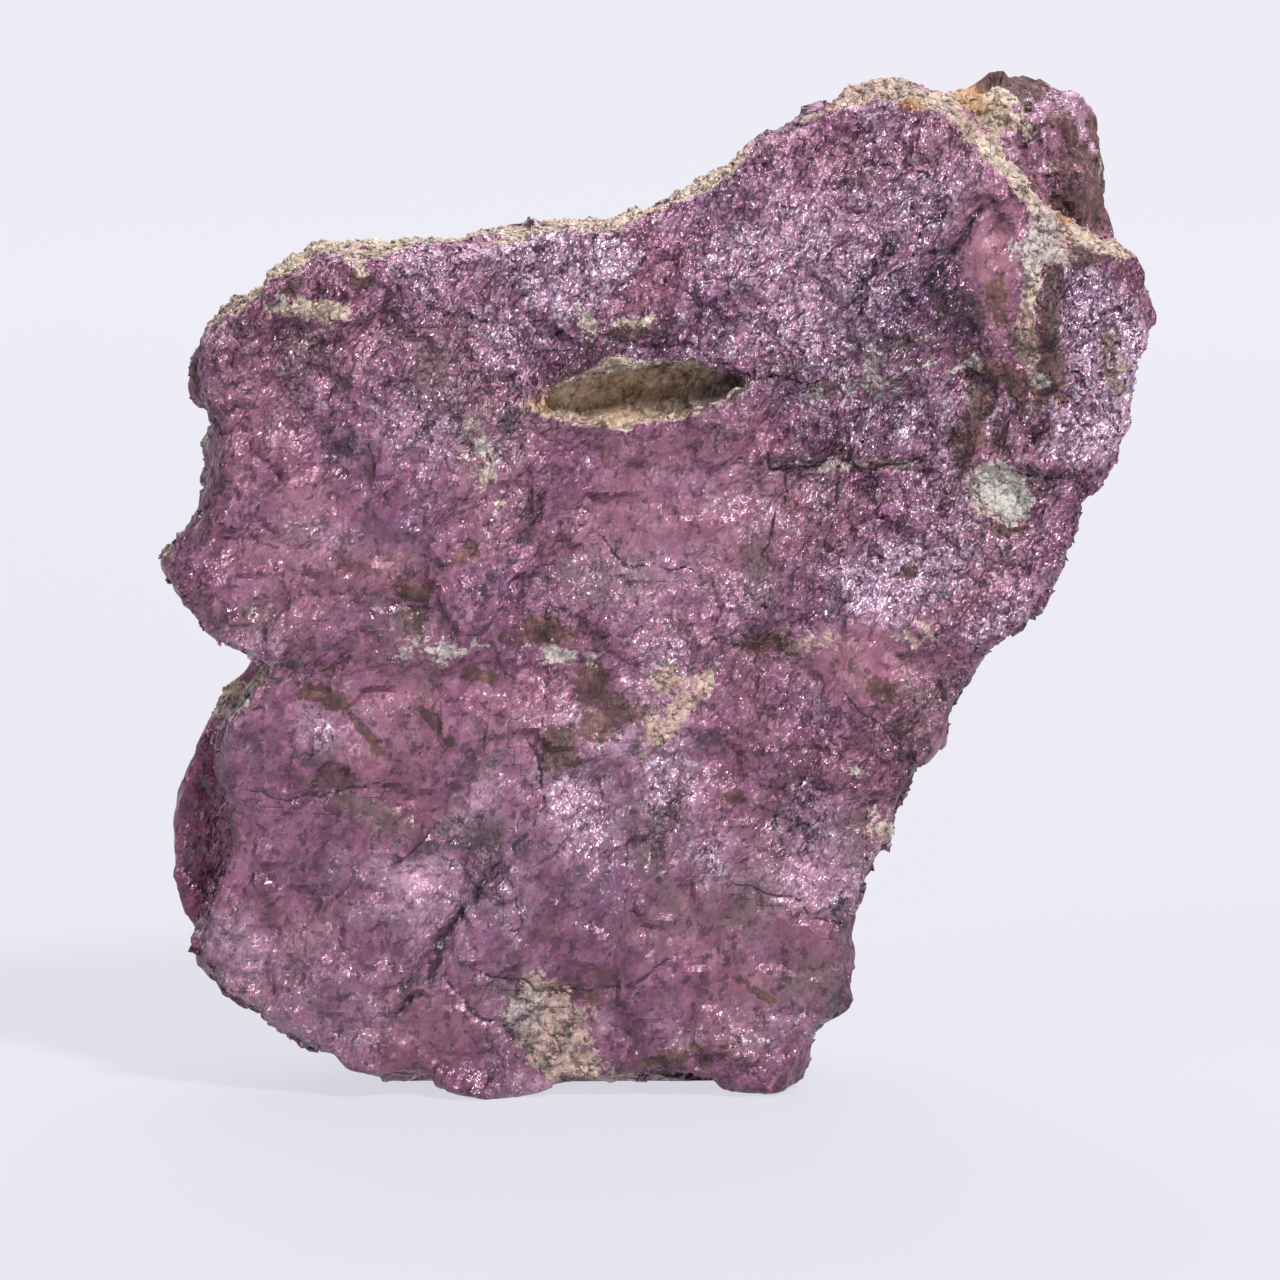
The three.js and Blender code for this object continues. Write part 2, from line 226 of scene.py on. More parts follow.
def line_distance(line):
    """The distance in mm from a line of points on the front face, below 0 to the right of its direction."""
    best = np.full(len(places), 1e3)
    side = np.ones(len(places))
    here = np.stack([across, up], axis=1)
    for start, end in zip(np.array(line[:-1]), np.array(line[1:])):
        along = end - start
        share = np.clip((here - start) @ along / (along @ along), 0, 1)
        gap = here - start - share[:, None] * along
        distance = np.hypot(*gap.T)
        left = along[0] * gap[:, 1] - along[1] * gap[:, 0] > 0
        side = np.where(distance < best, np.where(left, 1, -1), side)
        best = np.minimum(best, distance)
    return best * side


def path_distance(path):
    """The distance in mm from a path of points through the stone."""
    best = np.full(len(places), 1e3)
    for start, end in zip(np.array(path[:-1], float), np.array(path[1:], float)):
        along = end - start
        share = np.clip((places - start) @ along / (along @ along), 0, 1)
        best = np.minimum(best, np.linalg.norm(places - start - share[:, None] * along, axis=1))
    return best


print("patch and line fields ready")

# %% The front map's patches
LENS = (-1.15, 41.4, 6.6, 1.85, 6)  # the long hollow: its place, half sizes and turn
MATRIX_PATCHES = [
    (-20.1, 46.35, 2.7, 0.6, -8, 1), (-24.3, 24, 0.8, 2.3, -32, 1), (22.1, 50.4, 1.7, 1.3, 0, 1),
    (21.2, 48, 0.6, 2.6, 0, 1), (21.2, 44.3, 0.85, 1.7, 6, 1.8), (22.1, 42.1, 0.75, 0.45, 10, 2.2),
    (19.8, 35.8, 1.45, 1.95, 28, 2.4), (26.4, 43, 0.5, 1.3, 10, 0.4), (17.9, 43, 1, 0.35, 20, 0.6),
    (0.2, 25.1, 0.8, 1, 20, 1), (0.8, 22.5, 2.2, 0.8, 44, 1), (2.9, 24, 1, 0.7, 40, 0.4),
    (-12.6, 26.6, 1.9, 0.42, 4, 0.5), (-5.4, 26.2, 1.7, 0.4, -4, 0.5), (-10.1, 37.9, 0.5, 1.7, 10, 0.3),
    (-6.2, 3.7, 3.4, 1.9, -50, 1.2), (-4.6, 1.9, 2.4, 1.2, -20, 0.9), (12.6, 42.3, 1.6, 0.5, 20, 0.2),
    (10.4, 37.2, 3.4, 0.2, 0, 0.5), (-4, 45.6, 0.45, 0.8, 10, 0.5), (-17.3, 48.9, 1.2, 0.3, -14, 0.6),
    (-1.3, 45.6, 0.9, 0.22, 0, 0.6), (8.8, 27, 1, 0.5, 0, 0.25), (14.6, 27.4, 0.8, 0.4, 0, 0.25),
    (13.2, 16, 0.4, 1.2, 20, 0.2),
]
STAIN_PATCHES = [
    (-17, 48.2, 0.9, 0.7, -20, 1), (-1.5, 45.1, 1.1, 0.5, -5, 1.1), (-5.4, 20.6, 1.3, 1.5, 10, 0.9),
    (-3.6, 24.2, 1.3, 1.3, 0, 0.7), (-3, 22.2, 2.2, 0.8, 24, 0.6), (-19.2, 24, 1.5, 0.7, -24, 1),
    (-6.8, 27.8, 1.3, 0.7, -20, 0.5), (-6, 6.1, 2.8, 0.5, -8, 0.8), (22.6, 46.8, 0.7, 2.8, 0, 2),
    (19.6, 42.4, 1.9, 0.8, -24, 1.1), (22.6, 42.4, 1.1, 1.8, -20, 1.6), (17.9, 38.9, 0.8, 2.2, -6, 0.9),
    (14.3, 58.9, 1.1, 0.4, -12, 1.3), (19.9, 33.7, 1, 0.5, 10, 0.6), (12.8, 24.2, 0.7, 0.6, 0, 0.6),
    (-21.2, 47.6, 0.5, 0.9, -30, 0.8), (24.4, 49.5, 2.4, 0.5, -8, 0.6), (18.3, 40.9, 0.7, 1, 0, 0.8),
    (6.3, 26.8, 1.8, 0.5, -14, 0.4), (14.6, 31, 0.5, 0.4, 0, 0.9), (0.4, 2.2, 3, 0.5, 4, 0.3),
    (-14, 29.6, 0.5, 1.5, 20, 0.3), (-16.8, 21.6, 2.4, 0.3, -45, 0.8), (-10.5, 25, 1.2, 0.4, 0, 0.9),
    (9.6, 41.8, 0.5, 0.4, 0, 0.3), (19.4, 47.2, 0.4, 1.6, 10, 0.4), (-11.4, 32, 1, 0.5, 20, 0.3),
    (4.2, 18, 0.6, 0.4, 0, 0.5), (5.6, 6.6, 1.6, 0.3, -40, 0.5), (-13, 22, 0.4, 1.4, 40, 0.5),
]
# Painted shade: the patches at 17.8 across, 42.6 up, in the hole under the vein, and at -12.5 across, 9.6
# up, along the long cleft at the lower left. The other patches are dark mineral.
DARK_AND_PAINTED_SHADE_PATCHES = [
    (-18.6, 38.7, 1, 0.8, 0, 0.6), (17.8, 42.6, 0.7, 0.45, 0, 1.1), (22.3, 36.4, 1.5, 0.7, 0, 0.8),
    (-12.5, 9.6, 5, 0.32, 57, 0.6), (-8.6, 39.9, 0.9, 0.6, 30, 0.6), (-22.6, 24.9, 1.6, 0.4, 30, 0.4),
    (10.9, 10.6, 0.5, 0.9, 0, 0.9), (3.3, 21.3, 0.7, 0.6, 40, 0.7), (13.2, 49.6, 1.8, 0.5, 50, 0.5),
    (16.6, 47, 2.2, 0.8, -60, 0.6), (-10.6, 20, 0.9, 0.5, 0, 0.4), (-12, 15, 2, 0.5, 10, 0.4),
    (7.9, 16.4, 0.8, 0.9, 0, 0.4), (14.2, 21.4, 0.6, 1.4, 20, 0.5), (-20, 20, 0.9, 0.7, 0, 0.4),
    (0.2, 44.6, 0.5, 0.5, 0, 0.4), (11, 5.4, 0.8, 0.6, 0, 0.4), (-6.6, 3, 0.5, 0.9, 0, 0.8),
    (-8.7, 4.6, 0.6, 1.3, 0, 0.9), (-5.4, 1.4, 0.4, 0.5, 0, 0.6), (18.6, 45.6, 0.5, 1.4, 20, 0.6),
    (-7.4, 34.2, 0.3, 1.6, -20, 0.4),
]
BLUE_PATCHES = [
    (14.4, 46.6, 2.6, 3.6, -30, 1), (17.4, 46.2, 1.8, 3, -10, 0.8), (13.6, 35.2, 2.6, 1.8, 10, 0.9),
    (8.6, 42.4, 2.6, 1.4, 0, 0.4), (-18.6, 38.6, 1.2, 1, 0, 0.7), (13, 39.4, 2.4, 1.6, 0, 0.6),
    (-2.4, 12.4, 3, 3.6, 20, 0.5), (7.4, 19, 2.4, 3.2, 0, 0.4), (8, 6.4, 3, 2.2, 30, 0.5),
    (-9, 30.4, 1.6, 0.8, 0, 0.4), (-13.4, 47, 1.2, 1.2, 0, 0.3), (3.2, 46.2, 1.2, 2.2, 20, 0.5),
]
PINK_AND_PAINTED_HIGHLIGHT_PATCHES = [
    (11.7, 25.9, 3.6, 2.2, 8, 1.2), (-20.4, 35.4, 1.8, 1.8, 0, 0.8), (-15.9, 31.2, 2.8, 1.2, -14, 0.9),
    (-1, 47.3, 1.4, 1.2, 0, 0.7), (18.9, 49.6, 1.5, 3.6, 8, 1.3), (19.4, 45.6, 0.8, 2.4, 0, 0.6),
    (0.4, 38, 3.4, 1, 4, 0.4), (8.4, 34.6, 2.4, 2.4, 0, 0.5), (-2, 34, 3, 2, 0, 0.4),
    (5.4, 6.8, 2.6, 0.5, 36, 0.7), (17.6, 31.6, 2, 2.4, 0, 0.5), (-13, 43.4, 1.6, 1.8, 20, 0.5),
    (-10.6, 41, 2.4, 1.2, 10, 0.6), (10.4, 33.8, 1.8, 1.4, 0, 0.5), (-23.6, 42.4, 1.4, 1.8, 0, 0.4),
    # Painted highlight: the patches at 17.4 across, 26.2 up and at 15 across, 21.6 up are a thin pale strip
    # where light catches the lower right edge.
    (17.4, 26.2, 0.5, 2.4, 52, 0.9), (15, 21.6, 0.45, 2.6, 70, 0.8), (-8, 22.6, 2, 1.4, 0, 0.4),
    (3.8, 33, 2.4, 1.8, 0, 0.4),
]
# Where the cleavage glints: the finish makes these patches glossier and also paints a pale sheen and small
# glints on them, a painted highlight.
GLINT_PATCHES = [
    (-6.2, 48.6, 3.8, 2.3, -20, 1.8), (-3, 49.3, 2, 1.6, 0, 1.6), (13.6, 30.6, 4.4, 2.2, 14, 1.6),
    (9.6, 45.8, 3.4, 3.4, 40, 0.5), (15.4, 52.4, 2.4, 2.4, 0, 0.5), (17.4, 33.6, 2, 2.4, 0, 0.2),
    (25.8, 43.8, 2.4, 4, 0, 1.8), (26, 40.6, 1.8, 2.8, 20, 1.8), (11.6, 47.6, 3.2, 2.2, 46, 0.4),
    # Painted highlight: the patch at 19.4 across, 28.4 up is a pale strip where light catches the lower
    # right edge.
    (24.4, 46.8, 2, 2.4, 0, 1.2), (23.8, 39.4, 1.8, 2.4, 0, 1), (19.4, 28.4, 2, 0.6, 40, 0.9),
    (-4.4, 17.4, 1.4, 3.4, 14, 0.4), (0.4, 18.6, 1.4, 3, 0, 0.5), (3, 14.4, 1, 1.4, 0, 0.5),
    (-19.6, 21.8, 1, 1.2, 0, 0.5), (17, 36.4, 1.2, 1.4, 0, 0.3), (8, 50.6, 3, 1.4, 30, 0.3),
    (-11, 16.6, 0.6, 1.6, -40, 0.3), (-19.6, 33.4, 1.4, 0.8, -20, 0.3), (10.8, 11.4, 0.7, 0.9, 0, 0.7),
    (-13, 40, 1.6, 1.6, 0, 0.25), (-9.4, 44.4, 1.6, 1.6, 0, 0.3), (5, 49.4, 1.6, 2, 0, 0.3),
]
CALM_PATCHES = [
    (-15, 14, 15, 15, 0, 1.6), (-4, 8, 14, 9, 0, 1), (-18, 33, 8, 7, 0, 0.7),
    (0, 34, 7, 6, 0, 0.8), (11.7, 25.9, 4, 2.6, 8, 1.2), (18.9, 49.6, 1.8, 3.8, 8, 1.2),
    (6, 9, 8, 8, 0, 0.8), (-2, 20, 8, 6, 0, 0.6),
]
PEACH_PATCHES = [
    (-5.8, 3.6, 3.6, 3.6, 0, 1), (0.6, 23.4, 2.8, 2.8, 0, 1), (26.4, 43, 1, 1.8, 0, 0.9),
    (8.6, 27, 2.4, 1.4, 0, 0.8), (13.6, 57.6, 2, 1.4, 0, 0.6), (21.3, 44.4, 1.4, 2.6, 0, 0.9),
]
GREY_PATCHES = [
    (20, 35.9, 1.25, 1.75, 28, 1.6), (22.4, 36.4, 1.8, 1, 0, 1), (17.8, 42.6, 0.9, 0.6, 0, 1),
    (-12.6, 26.6, 2.4, 0.8, 4, 1), (-5.4, 26.2, 2.2, 0.8, -4, 1), (21.8, 50.2, 1.2, 1.4, 0, 0.9),
    (-8.2, 5, 1.6, 1, 0, 0.9), (22.1, 42.1, 1, 0.6, 10, 1.2), (-15.1, 45, 0.8, 2.6, 4, 1),
    (12.6, 42.3, 2.4, 1, 20, 0.8), (-24.3, 24, 1, 2.6, -32, 0.8), (2, 46.2, 1, 1.8, 20, 1),
]
OLIVE_PATCHES = [
    (-13, 42.6, 1.6, 2.6, 20, 0.5), (-10.2, 38.6, 1.2, 2.4, 0, 0.6), (-10.4, 16, 2.2, 0.8, 10, 0.7),
    (-24, 28.6, 1.6, 0.8, 0, 0.5), (-14.6, 28, 1.8, 1.2, 0, 0.5), (8.8, 6.8, 2, 1, 0, 0.7),
    (5.4, 11.4, 1.4, 1.6, 30, 0.6), (15.8, 23.2, 1.4, 1.4, 0, 0.5), (13.6, 44.2, 2, 0.8, 0, 0.6),
    (-8.4, 6, 2, 1, -20, 0.7), (11.6, 15.6, 1.2, 2.2, 10, 0.5), (-3.4, 30.8, 2.4, 0.8, 0, 0.4),
    (-17, 17, 2.6, 0.8, -30, 0.5), (7.2, 43.2, 1, 0.8, 0, 0.4), (5.8, 31.2, 0.6, 2, 0, 0.4),
    (-0.4, 14.4, 1, 2, 20, 0.4), (-20.4, 44.2, 1.2, 1.2, 0, 0.3), (9.6, 37.4, 2.8, 0.5, 0, 0.6),
]
AMBER_PATCHES = [
    (14.6, 58.1, 0.9, 0.4, -10, 1.2), (23.3, 41, 0.4, 0.5, 0, 0.5),
    (-6.4, 41, 0.9, 0.5, 0, 0.5), (23.6, 51.6, 0.6, 0.4, 0, 0.6),
]
RUST_PATCHES = [
    (-19, 22.4, 6, 5, 0, 0.5), (-16.4, 34.4, 3, 3, 0, 0.4), (-5.4, 25.4, 3.4, 2.8, 0, 0.8),
    (-0.6, 15.4, 3.4, 4, 0, 0.3), (19.6, 42.6, 2.6, 6.6, 0, 0.9), (26, 44, 2, 4, 0, 0.3),
    (-4, 8, 5, 2.4, 0, 0.6), (-10, 6, 4, 3, 0, 0.4), (-17.4, 47.6, 2.4, 1.6, 0, 0.7),
    (-4, 45.6, 4, 1.4, -6, 0.5), (6.4, 27.2, 3, 1.2, 0, 0.4), (14, 20, 2.4, 4, 0, 0.3),
]
print("patches of matrix:", len(MATRIX_PATCHES), "stain:", len(STAIN_PATCHES), "glint:", len(GLINT_PATCHES))

# %% Cracks and steps of the front face: their lines, how wide they open and how deep they go, in mm
CRACKS = [
    ([(-9.6, 13.9), (-11, 11.6), (-12.8, 8.8), (-14.8, 5.4)], 0.16, 0.35),
    ([(-14.4, 46.4), (-8.4, 45.6), (-2.6, 44.6), (1.8, 44), (4.7, 42.9), (8.9, 42.3)], 0.07, 0.16),
    ([(6.4, 37.6), (6.6, 37.2), (9.4, 37.4), (12.2, 37.2), (14.8, 37.2)], 0.09, 0.24),
    ([(18.9, 52.4), (17.6, 50.6), (16.4, 49.2), (15.2, 47.8)], 0.18, 0.4),
    ([(-6.5, 25.2), (-6.7, 22.6), (-6.4, 20)], 0.05, 0.1),
    ([(-12.4, 7.4), (-10.8, 5.6), (-8.8, 3.6)], 0.1, 0.2),
    ([(7.4, 37), (6.9, 34.8), (6.2, 32)], 0.07, 0.14),
    ([(10.6, 37), (10.4, 34.2), (9.8, 32.4)], 0.06, 0.12),
    ([(-23.6, 18), (-19.6, 17.8), (-16.4, 18.6)], 0.06, 0.12),
    ([(-4.6, 33.8), (-2.6, 32.2), (2, 31)], 0.06, 0.12),
    ([(-7.6, 21.8), (-6.4, 17.4), (-9.2, 13.4), (-8.2, 10.6)], 0.06, 0.12),
    ([(9.6, 56.4), (12.4, 54.6), (15.4, 54)], 0.06, 0.12),
    ([(18.4, 54.6), (16.6, 51.8), (13, 48), (9.6, 43.6)], 0.07, 0.14),
    ([(24, 42.6), (25.2, 41.2), (26.4, 39.6)], 0.08, 0.2),
    ([(24.2, 45.4), (25.8, 44.4), (27.6, 44.8)], 0.08, 0.2),
    ([(20.4, 37), (22.4, 36.8), (25.6, 35.4)], 0.1, 0.2),
    ([(-6.6, 35.6), (-7.2, 34.2), (-8.8, 33.2)], 0.1, 0.2),
    ([(-10.2, 7.6), (-6.8, 6.4), (-2.6, 6.6), (0.4, 8.2)], 0.08, 0.16),
    ([(4.6, 12.6), (7.6, 12.2), (10.8, 9.6)], 0.06, 0.12),
    ([(11, 24.2), (14.2, 21), (14.8, 18)], 0.06, 0.12),
]
CRACK_REACH = 0.8


def crack_fields(cracks):
    """The signed distance from the nearest crack, its width, and how much the cracks sink the surface."""
    nearest = np.full(len(places), CRACK_REACH)
    width = np.full(len(places), 0.1)
    sink = np.zeros(len(places))
    wander = 0.45 * hills(places, 1.7, 70) + 0.25 * hills(places, 0.8, 71) + 0.1 * hills(places, 0.35, 72)
    for line, opening, depth in cracks:
        distance = line_distance(line) + wander
        closer = np.abs(distance) < np.abs(nearest)
        nearest = np.where(closer, distance, nearest)
        width = np.where(closer, opening, width)
        sink = np.maximum(sink, depth * np.exp(-((distance / (opening + 0.15)) ** 2)))
    return nearest, width, sink * facing_front


crack_distance, crack_width, crack_sink = crack_fields(CRACKS)
print("points sunk by cracks:", int((crack_sink > 0.05).sum()))

# %% The vein along the seam and the long hollow
VEIN_PATH = [
    (10.3, -7.0, 57.5), (12.7, -7.3, 58.4), (14.7, -7.5, 58.4), (16.8, -7.7, 57.4), (18.4, -7.8, 56.0),
    (19.8, -7.8, 54.3), (21.4, -7.7, 52.1), (23.1, -7.4, 50.6), (24.8, -6.8, 49.8), (26.2, -5.6, 49.3),
]
VEIN_LINE = [(8.6, 57.6), (12.8, 59), (16.4, 58.1), (19.4, 55.2), (21.4, 52.5), (24.4, 50.3), (27, 49.5)]
VEIN_HALF = 0.55  # half of the vein's width
VEIN_END = -4.4  # the vein's line on the face fades out behind this depth
HOLLOW_RIM = -9.0  # in front of this depth the inside of the hollow gets painted shade
stray_deep = deep + 2.6 * hills(places, 3.5, 120) + 1.4 * hills(places, 1.2, 121)
face_gap = np.abs(line_distance(VEIN_LINE)) + 0.35 * np.abs(sway_across)
face_gap += 2 * np.maximum(stray_deep - VEIN_END, 0)
vein_gap = np.minimum(path_distance(VEIN_PATH), face_gap)
near_vein = np.clip(1.6 - vein_gap / 1.2, 0, 1)

in_front = in_front_zone > 0.5
past_hollow = across - LENS[0]
lens_u, lens_v = face_offsets(*LENS)
lens_radius = np.sqrt(lens_u ** 2 + np.abs(lens_v))  # 1 on the outline of the pointed hollow
umber = np.where(in_front, np.clip((1.0 - lens_radius) * 4, -1, 1), -1.0)
hollow_tone_and_painted_shade = 0.62 - past_hollow / 9 + 0.5 * hills(places, 1.4, 98)
# Painted shade: the hollow's paint is darker near its front rim and on its upward-facing floor.
hollow_tone_and_painted_shade -= 0.4 * rise(HOLLOW_RIM - deep, 0.4)
hollow_floor = rise(normals[:, 2] - 0.1, 0.4) * rise(past_hollow + 5, 2)
hollow_tone_and_painted_shade -= 0.15 * hollow_floor
hollow_tone_and_painted_shade = np.clip(hollow_tone_and_painted_shade, -0.2, 1.2)
# The hollow's pale rim: wide pale matrix along the upper rim, and a thin pale line along the rest of the
# outline, which at the lower lip is a painted highlight where the lip catches light.
upper_rim = np.clip(lens_v * 2, 0, 1)
rim_width = 0.018 + 0.09 * upper_rim * np.clip(0.7 - past_hollow / 8, 0.25, 1)
rim_strength = np.clip(0.6 + 0.9 * hills(places, 1.1, 85), 0, 1) * np.clip((4.5 - across) / 3, 0.3, 1)
pale_rim_and_painted_lip_highlight = np.where(in_front, 1.4 * rim_strength - np.abs(lens_radius - 1.0) / rim_width, -1.0)
bare_lip = (lens_radius < 1.4) & (upper_rim < 0.3) & in_front
print("points in the vein:", int((vein_gap < VEIN_HALF).sum()), "in the hollow:", int((umber > 0).sum()))

# %% The corner lump, the layer behind the lower left edge and the crusted top
SEAM_HEIGHT = 45.5  # the lump starts above this height, right of LUMP_LEFT and behind LUMP_FRONT
LUMP_LEFT = 9.5
LUMP_FRONT = -3.2
CREAM_END = 20.6  # the lump is cream to the left of this
LUMP_BROWN_TOP = 53.2  # brown below this, right of LUMP_RIGHT_EDGE and above LUMP_CREST
LUMP_RIGHT_EDGE = 24.9
LUMP_CREST = 57.8
LAYER_RIGHT = -20.0  # the layer behind shows left of this and below LAYER_TOP
LAYER_TOP = 27
GROOVE = (-24.2, 23.6, 1.1, 2.4, -32)  # pale crumbs between the two layers
stray_across = across + 2.2 * hills(places, 4.0, 116) + 0.9 * hills(places, 1.4, 117)
stray_up = up + 4.0 * hills(places, 4.5, 118) + 1.6 * hills(places, 1.7, 119)
above_seam = rise(stray_up - SEAM_HEIGHT - 0.1 * across, 2)
on_lump = rise(stray_deep - LUMP_FRONT, 1.5) * above_seam
on_lump *= rise(stray_across - LUMP_LEFT - 0.4 * np.clip(deep, 0, 8), 2)
layer = rise(deep + 6.0, 1.5) * rise(LAYER_RIGHT - across, 1.5)
layer *= rise(LAYER_TOP - up, 2)
layer *= rise(4.0 - deep, 2)
groove = np.clip(1.6 - np.hypot(*face_offsets(*GROOVE)), -1, 1)
off_front = 1 - facing_front
top_crust = rise(normals[:, 2] - 0.25, 0.4) * rise(8.0 - across, 3) * off_front
blotch = hills(places, 6.0, 81) + 0.6 * hills(places, 2.6, 82) + 0.35 * hills(places, 1.1, 83)
streak = hills(places * np.array([1, 2.6, 1]), 3.4, 84) + 0.5 * hills(places, 1.2, 85)
print("points on the lump:", int((on_lump > 0.5).sum()), "on the layer:", int((layer > 0.5).sum()))

# %% The pale matrix and the brown stain
matrix = patch_field(MATRIX_PATCHES)
matrix = np.maximum(matrix, 1.6 * (1 - vein_gap / VEIN_HALF) + 0.3 * hills(places, 1.4, 86) + 0.15)
matrix = np.maximum(matrix, pale_rim_and_painted_lip_highlight)
lump_cream = np.clip((CREAM_END - 0.7 * np.clip(deep, 0, 6) - across) / 3, -0.8, 1)
lump_cream = 2.2 * lump_cream + 0.7 * blotch
matrix = np.maximum(matrix, on_lump * lump_cream - (1 - on_lump))
away_matrix = 2.2 * top_crust + 1.5 * streak + 0.8 * hills(places, 8.0, 99) - 1.15
matrix = np.maximum(matrix, off_front * away_matrix - facing_front)
matrix = np.where(layer > 0.1, np.minimum(matrix, 1.5 * groove - 0.3), matrix)
stain = 1.5 * patch_field(STAIN_PATCHES) + 0.05
lump_edges = np.clip((stray_across - LUMP_RIGHT_EDGE) / 1.2, -0.5, 0.3)
lump_edges = np.maximum(lump_edges, np.clip((LUMP_BROWN_TOP - stray_up) / 2, -0.5, 1))
lump_edges = np.maximum(lump_edges, np.clip((up - LUMP_CREST) / 0.8, -0.5, 0.5))
lump_brown = 0.45 + 0.8 * streak + 0.4 * hills(places, 1.6, 114) + 1.4 * lump_edges
stain = np.maximum(stain, on_lump * lump_brown - (1 - on_lump))
away_stain = 1.2 * hills(places, 4.2, 87) + 0.7 * streak - 0.75
stain = np.maximum(stain, off_front * away_stain - facing_front)
stain = stain - 1.5 * layer
print("points of matrix:", int((matrix > 0).sum()), "of stain:", int((stain > 0).sum()))

# %% The colours of the cleavage, and where shade, highlights and sheen are painted
away_dark = 0.8 * hills(places, 3.0, 88) + 0.3 * blotch - 0.6
# Dark mineral, with painted shade in the hole under the vein and along the long cleft; away from the front
# face, darker mottles.
dark = np.maximum(patch_field(DARK_AND_PAINTED_SHADE_PATCHES), off_front * away_dark - facing_front)
blue = np.maximum(patch_field(BLUE_PATCHES), 0.7 * hills(places, 4.8, 93) - 0.4)
wine = layer * (1.4 + 0.5 * hills(places, 2.4, 97)) - 0.5
away_olive = 0.6 * hills(places, 3.6, 94) + 0.4 * hills(places, 1.5, 95) - 0.75
olive = np.maximum(patch_field(OLIVE_PATCHES), away_olive)
pink_and_painted_highlight = np.maximum(patch_field(PINK_AND_PAINTED_HIGHLIGHT_PATCHES), 0.6 * hills(places, 5.0, 89) - 0.35)
pink_and_painted_highlight = np.maximum(pink_and_painted_highlight, on_lump * (0.7 + 0.5 * streak) - 0.5)
clouds = 0.5 + 0.11 * hills(places, 7.5, 100) + 0.06 * hills(places, 3.2, 101)
clouds -= 0.12 * rise(26 - up, 12)  # the lower part of the face is darker
clouds -= 0.07 * np.exp(-(((across - 15) / 5) ** 2 + ((up - 40) / 6) ** 2)) * facing_front
# Where the cleavage glints, and the lump's lilac facets: glossier, and also a pale painted sheen and small
# painted glints.
glint_patch = patch_field(GLINT_PATCHES)
glint = np.maximum(glint_patch, 0.7 * hills(places, 4.4, 90) + 0.3 * hills(places, 1.6, 91) - 0.5)
glint = np.maximum(glint, on_lump * (1.0 + 0.7 * hills(places, 2.4, 115)) - 1)
calm = np.clip(0.5 + patch_field(CALM_PATCHES) - 0.8 * np.maximum(glint_patch, 0), 0, 1) * facing_front
calm = np.maximum(calm, np.maximum(layer, 0.9 * on_lump))
print("glinting points:", int((glint > 0).sum()), "calm points:", int((calm > 0.5).sum()))

# %% The colours of the matrix, the rust, and where grains and flakes stand
CRYSTAL = (20.0, 35.9, 1.2, 1.75, 28)  # the glassy crystal: its place, half sizes and turn
AMBER_SPOT = (18.2, 57.4)
peach_patch = patch_field(PEACH_PATCHES)
peach = np.maximum(peach_patch, 0.8 * hills(places, 5.2, 92) - 0.5)
peach = np.maximum(peach, 0.6 * near_vein + 0.7 * hills(places, 1.9, 113) - 0.55)
warm = 0.7 * top_crust + near_vein + 2 * np.clip(1.7 - lens_radius, 0, 1)
warm = warm + 1.5 * np.clip(peach_patch + 0.3, 0, 1) + on_lump
grey = np.maximum(patch_field(GREY_PATCHES), 0.8 * hills(places, 3.2, 96) - 0.2 - warm)
crystal = np.clip((1.0 - np.hypot(*face_offsets(*CRYSTAL))) * 3, -1, 1)
glassy = np.where(in_front, crystal, -1.0)
lump_streak = 0.55 - 0.6 * np.hypot((across - AMBER_SPOT[0]) / 1.1, (up - AMBER_SPOT[1]) / 1.3)
amber = np.maximum(patch_field(AMBER_PATCHES), on_lump * (lump_streak + 1) - 1)
network = np.abs(hills(places, 3.4, 110) + 0.3 * hills(places, 1.3, 111))  # 0 along a net of thin lines
rusty = np.maximum(patch_field(RUST_PATCHES), 0.5 * hills(places, 6.0, 112) - 0.35) + 0.3
rusty = np.maximum(rusty, 1.2 * on_lump - 0.4)
rust = np.minimum(rusty, 1.0 - network / 0.065)
flaky = glint + 0.35 - 0.9 * calm - 0.6 * np.clip(pink_and_painted_highlight + 0.2, 0, 1)
grainy = np.where(bare_lip | (glassy > -0.3), -1.0, matrix)  # the crystal and the hollow's lip are smooth
print("rusty points:", int((rust > 0).sum()), "grainy points:", int((grainy > 0).sum()))

# %% [markdown]
# ## Raising the relief
# The front is a cleavage face of low steps and slightly tilted sheets, with fine ribs where sheets tear. The
# broken sides and back are rougher, the matrix is granular, and the cracks sink.

# %% Move the points
CLEAVAGE_TURN = math.radians(60)  # the sheets' ribs climb to the right at this angle


def ribs(turn, along, across_size, seed):
    """Fine ribs of torn sheets, long in one direction of the face and narrow across it."""
    u = across * math.cos(turn) + up * math.sin(turn)
    v = up * math.cos(turn) - across * math.sin(turn)
    stretched = np.stack([u / along, deep / across_size, v / across_size], axis=1)
    return hills(stretched, 1.0, seed)


smooth_here = np.maximum(np.clip(pink_and_painted_highlight * 2 + 0.3, 0, 1) * facing_front, 0.8 * calm)
glinting_here = np.clip(glint * 1.5 + 0.4, 0, 1) * facing_front
grainy_here = np.clip(0.5 + matrix * 2, 0, 1)
crumple = 0.12 * facets(places, 1.15, 2.4, 30, 112) + 0.09 * ribs(CLEAVAGE_TURN, 2.4, 0.6, 122)
front_relief = (
    0.12 * hills(places, 4.5, 101)
    + 0.17 * facets(places, 2.6, 2.0, 45, 102)
    + (1 - 0.65 * smooth_here) * (0.6 + 0.9 * glinting_here) * crumple
)
side_relief = (
    0.34 * facets(places * np.array([1, 1.8, 1]), 3.4, 2.0, 50, 132)
    + 0.13 * facets(places * np.array([1, 1.6, 1]), 1.4, 2.0, 40, 142)
    + 0.05 * hills(places, 0.7, 152)
)
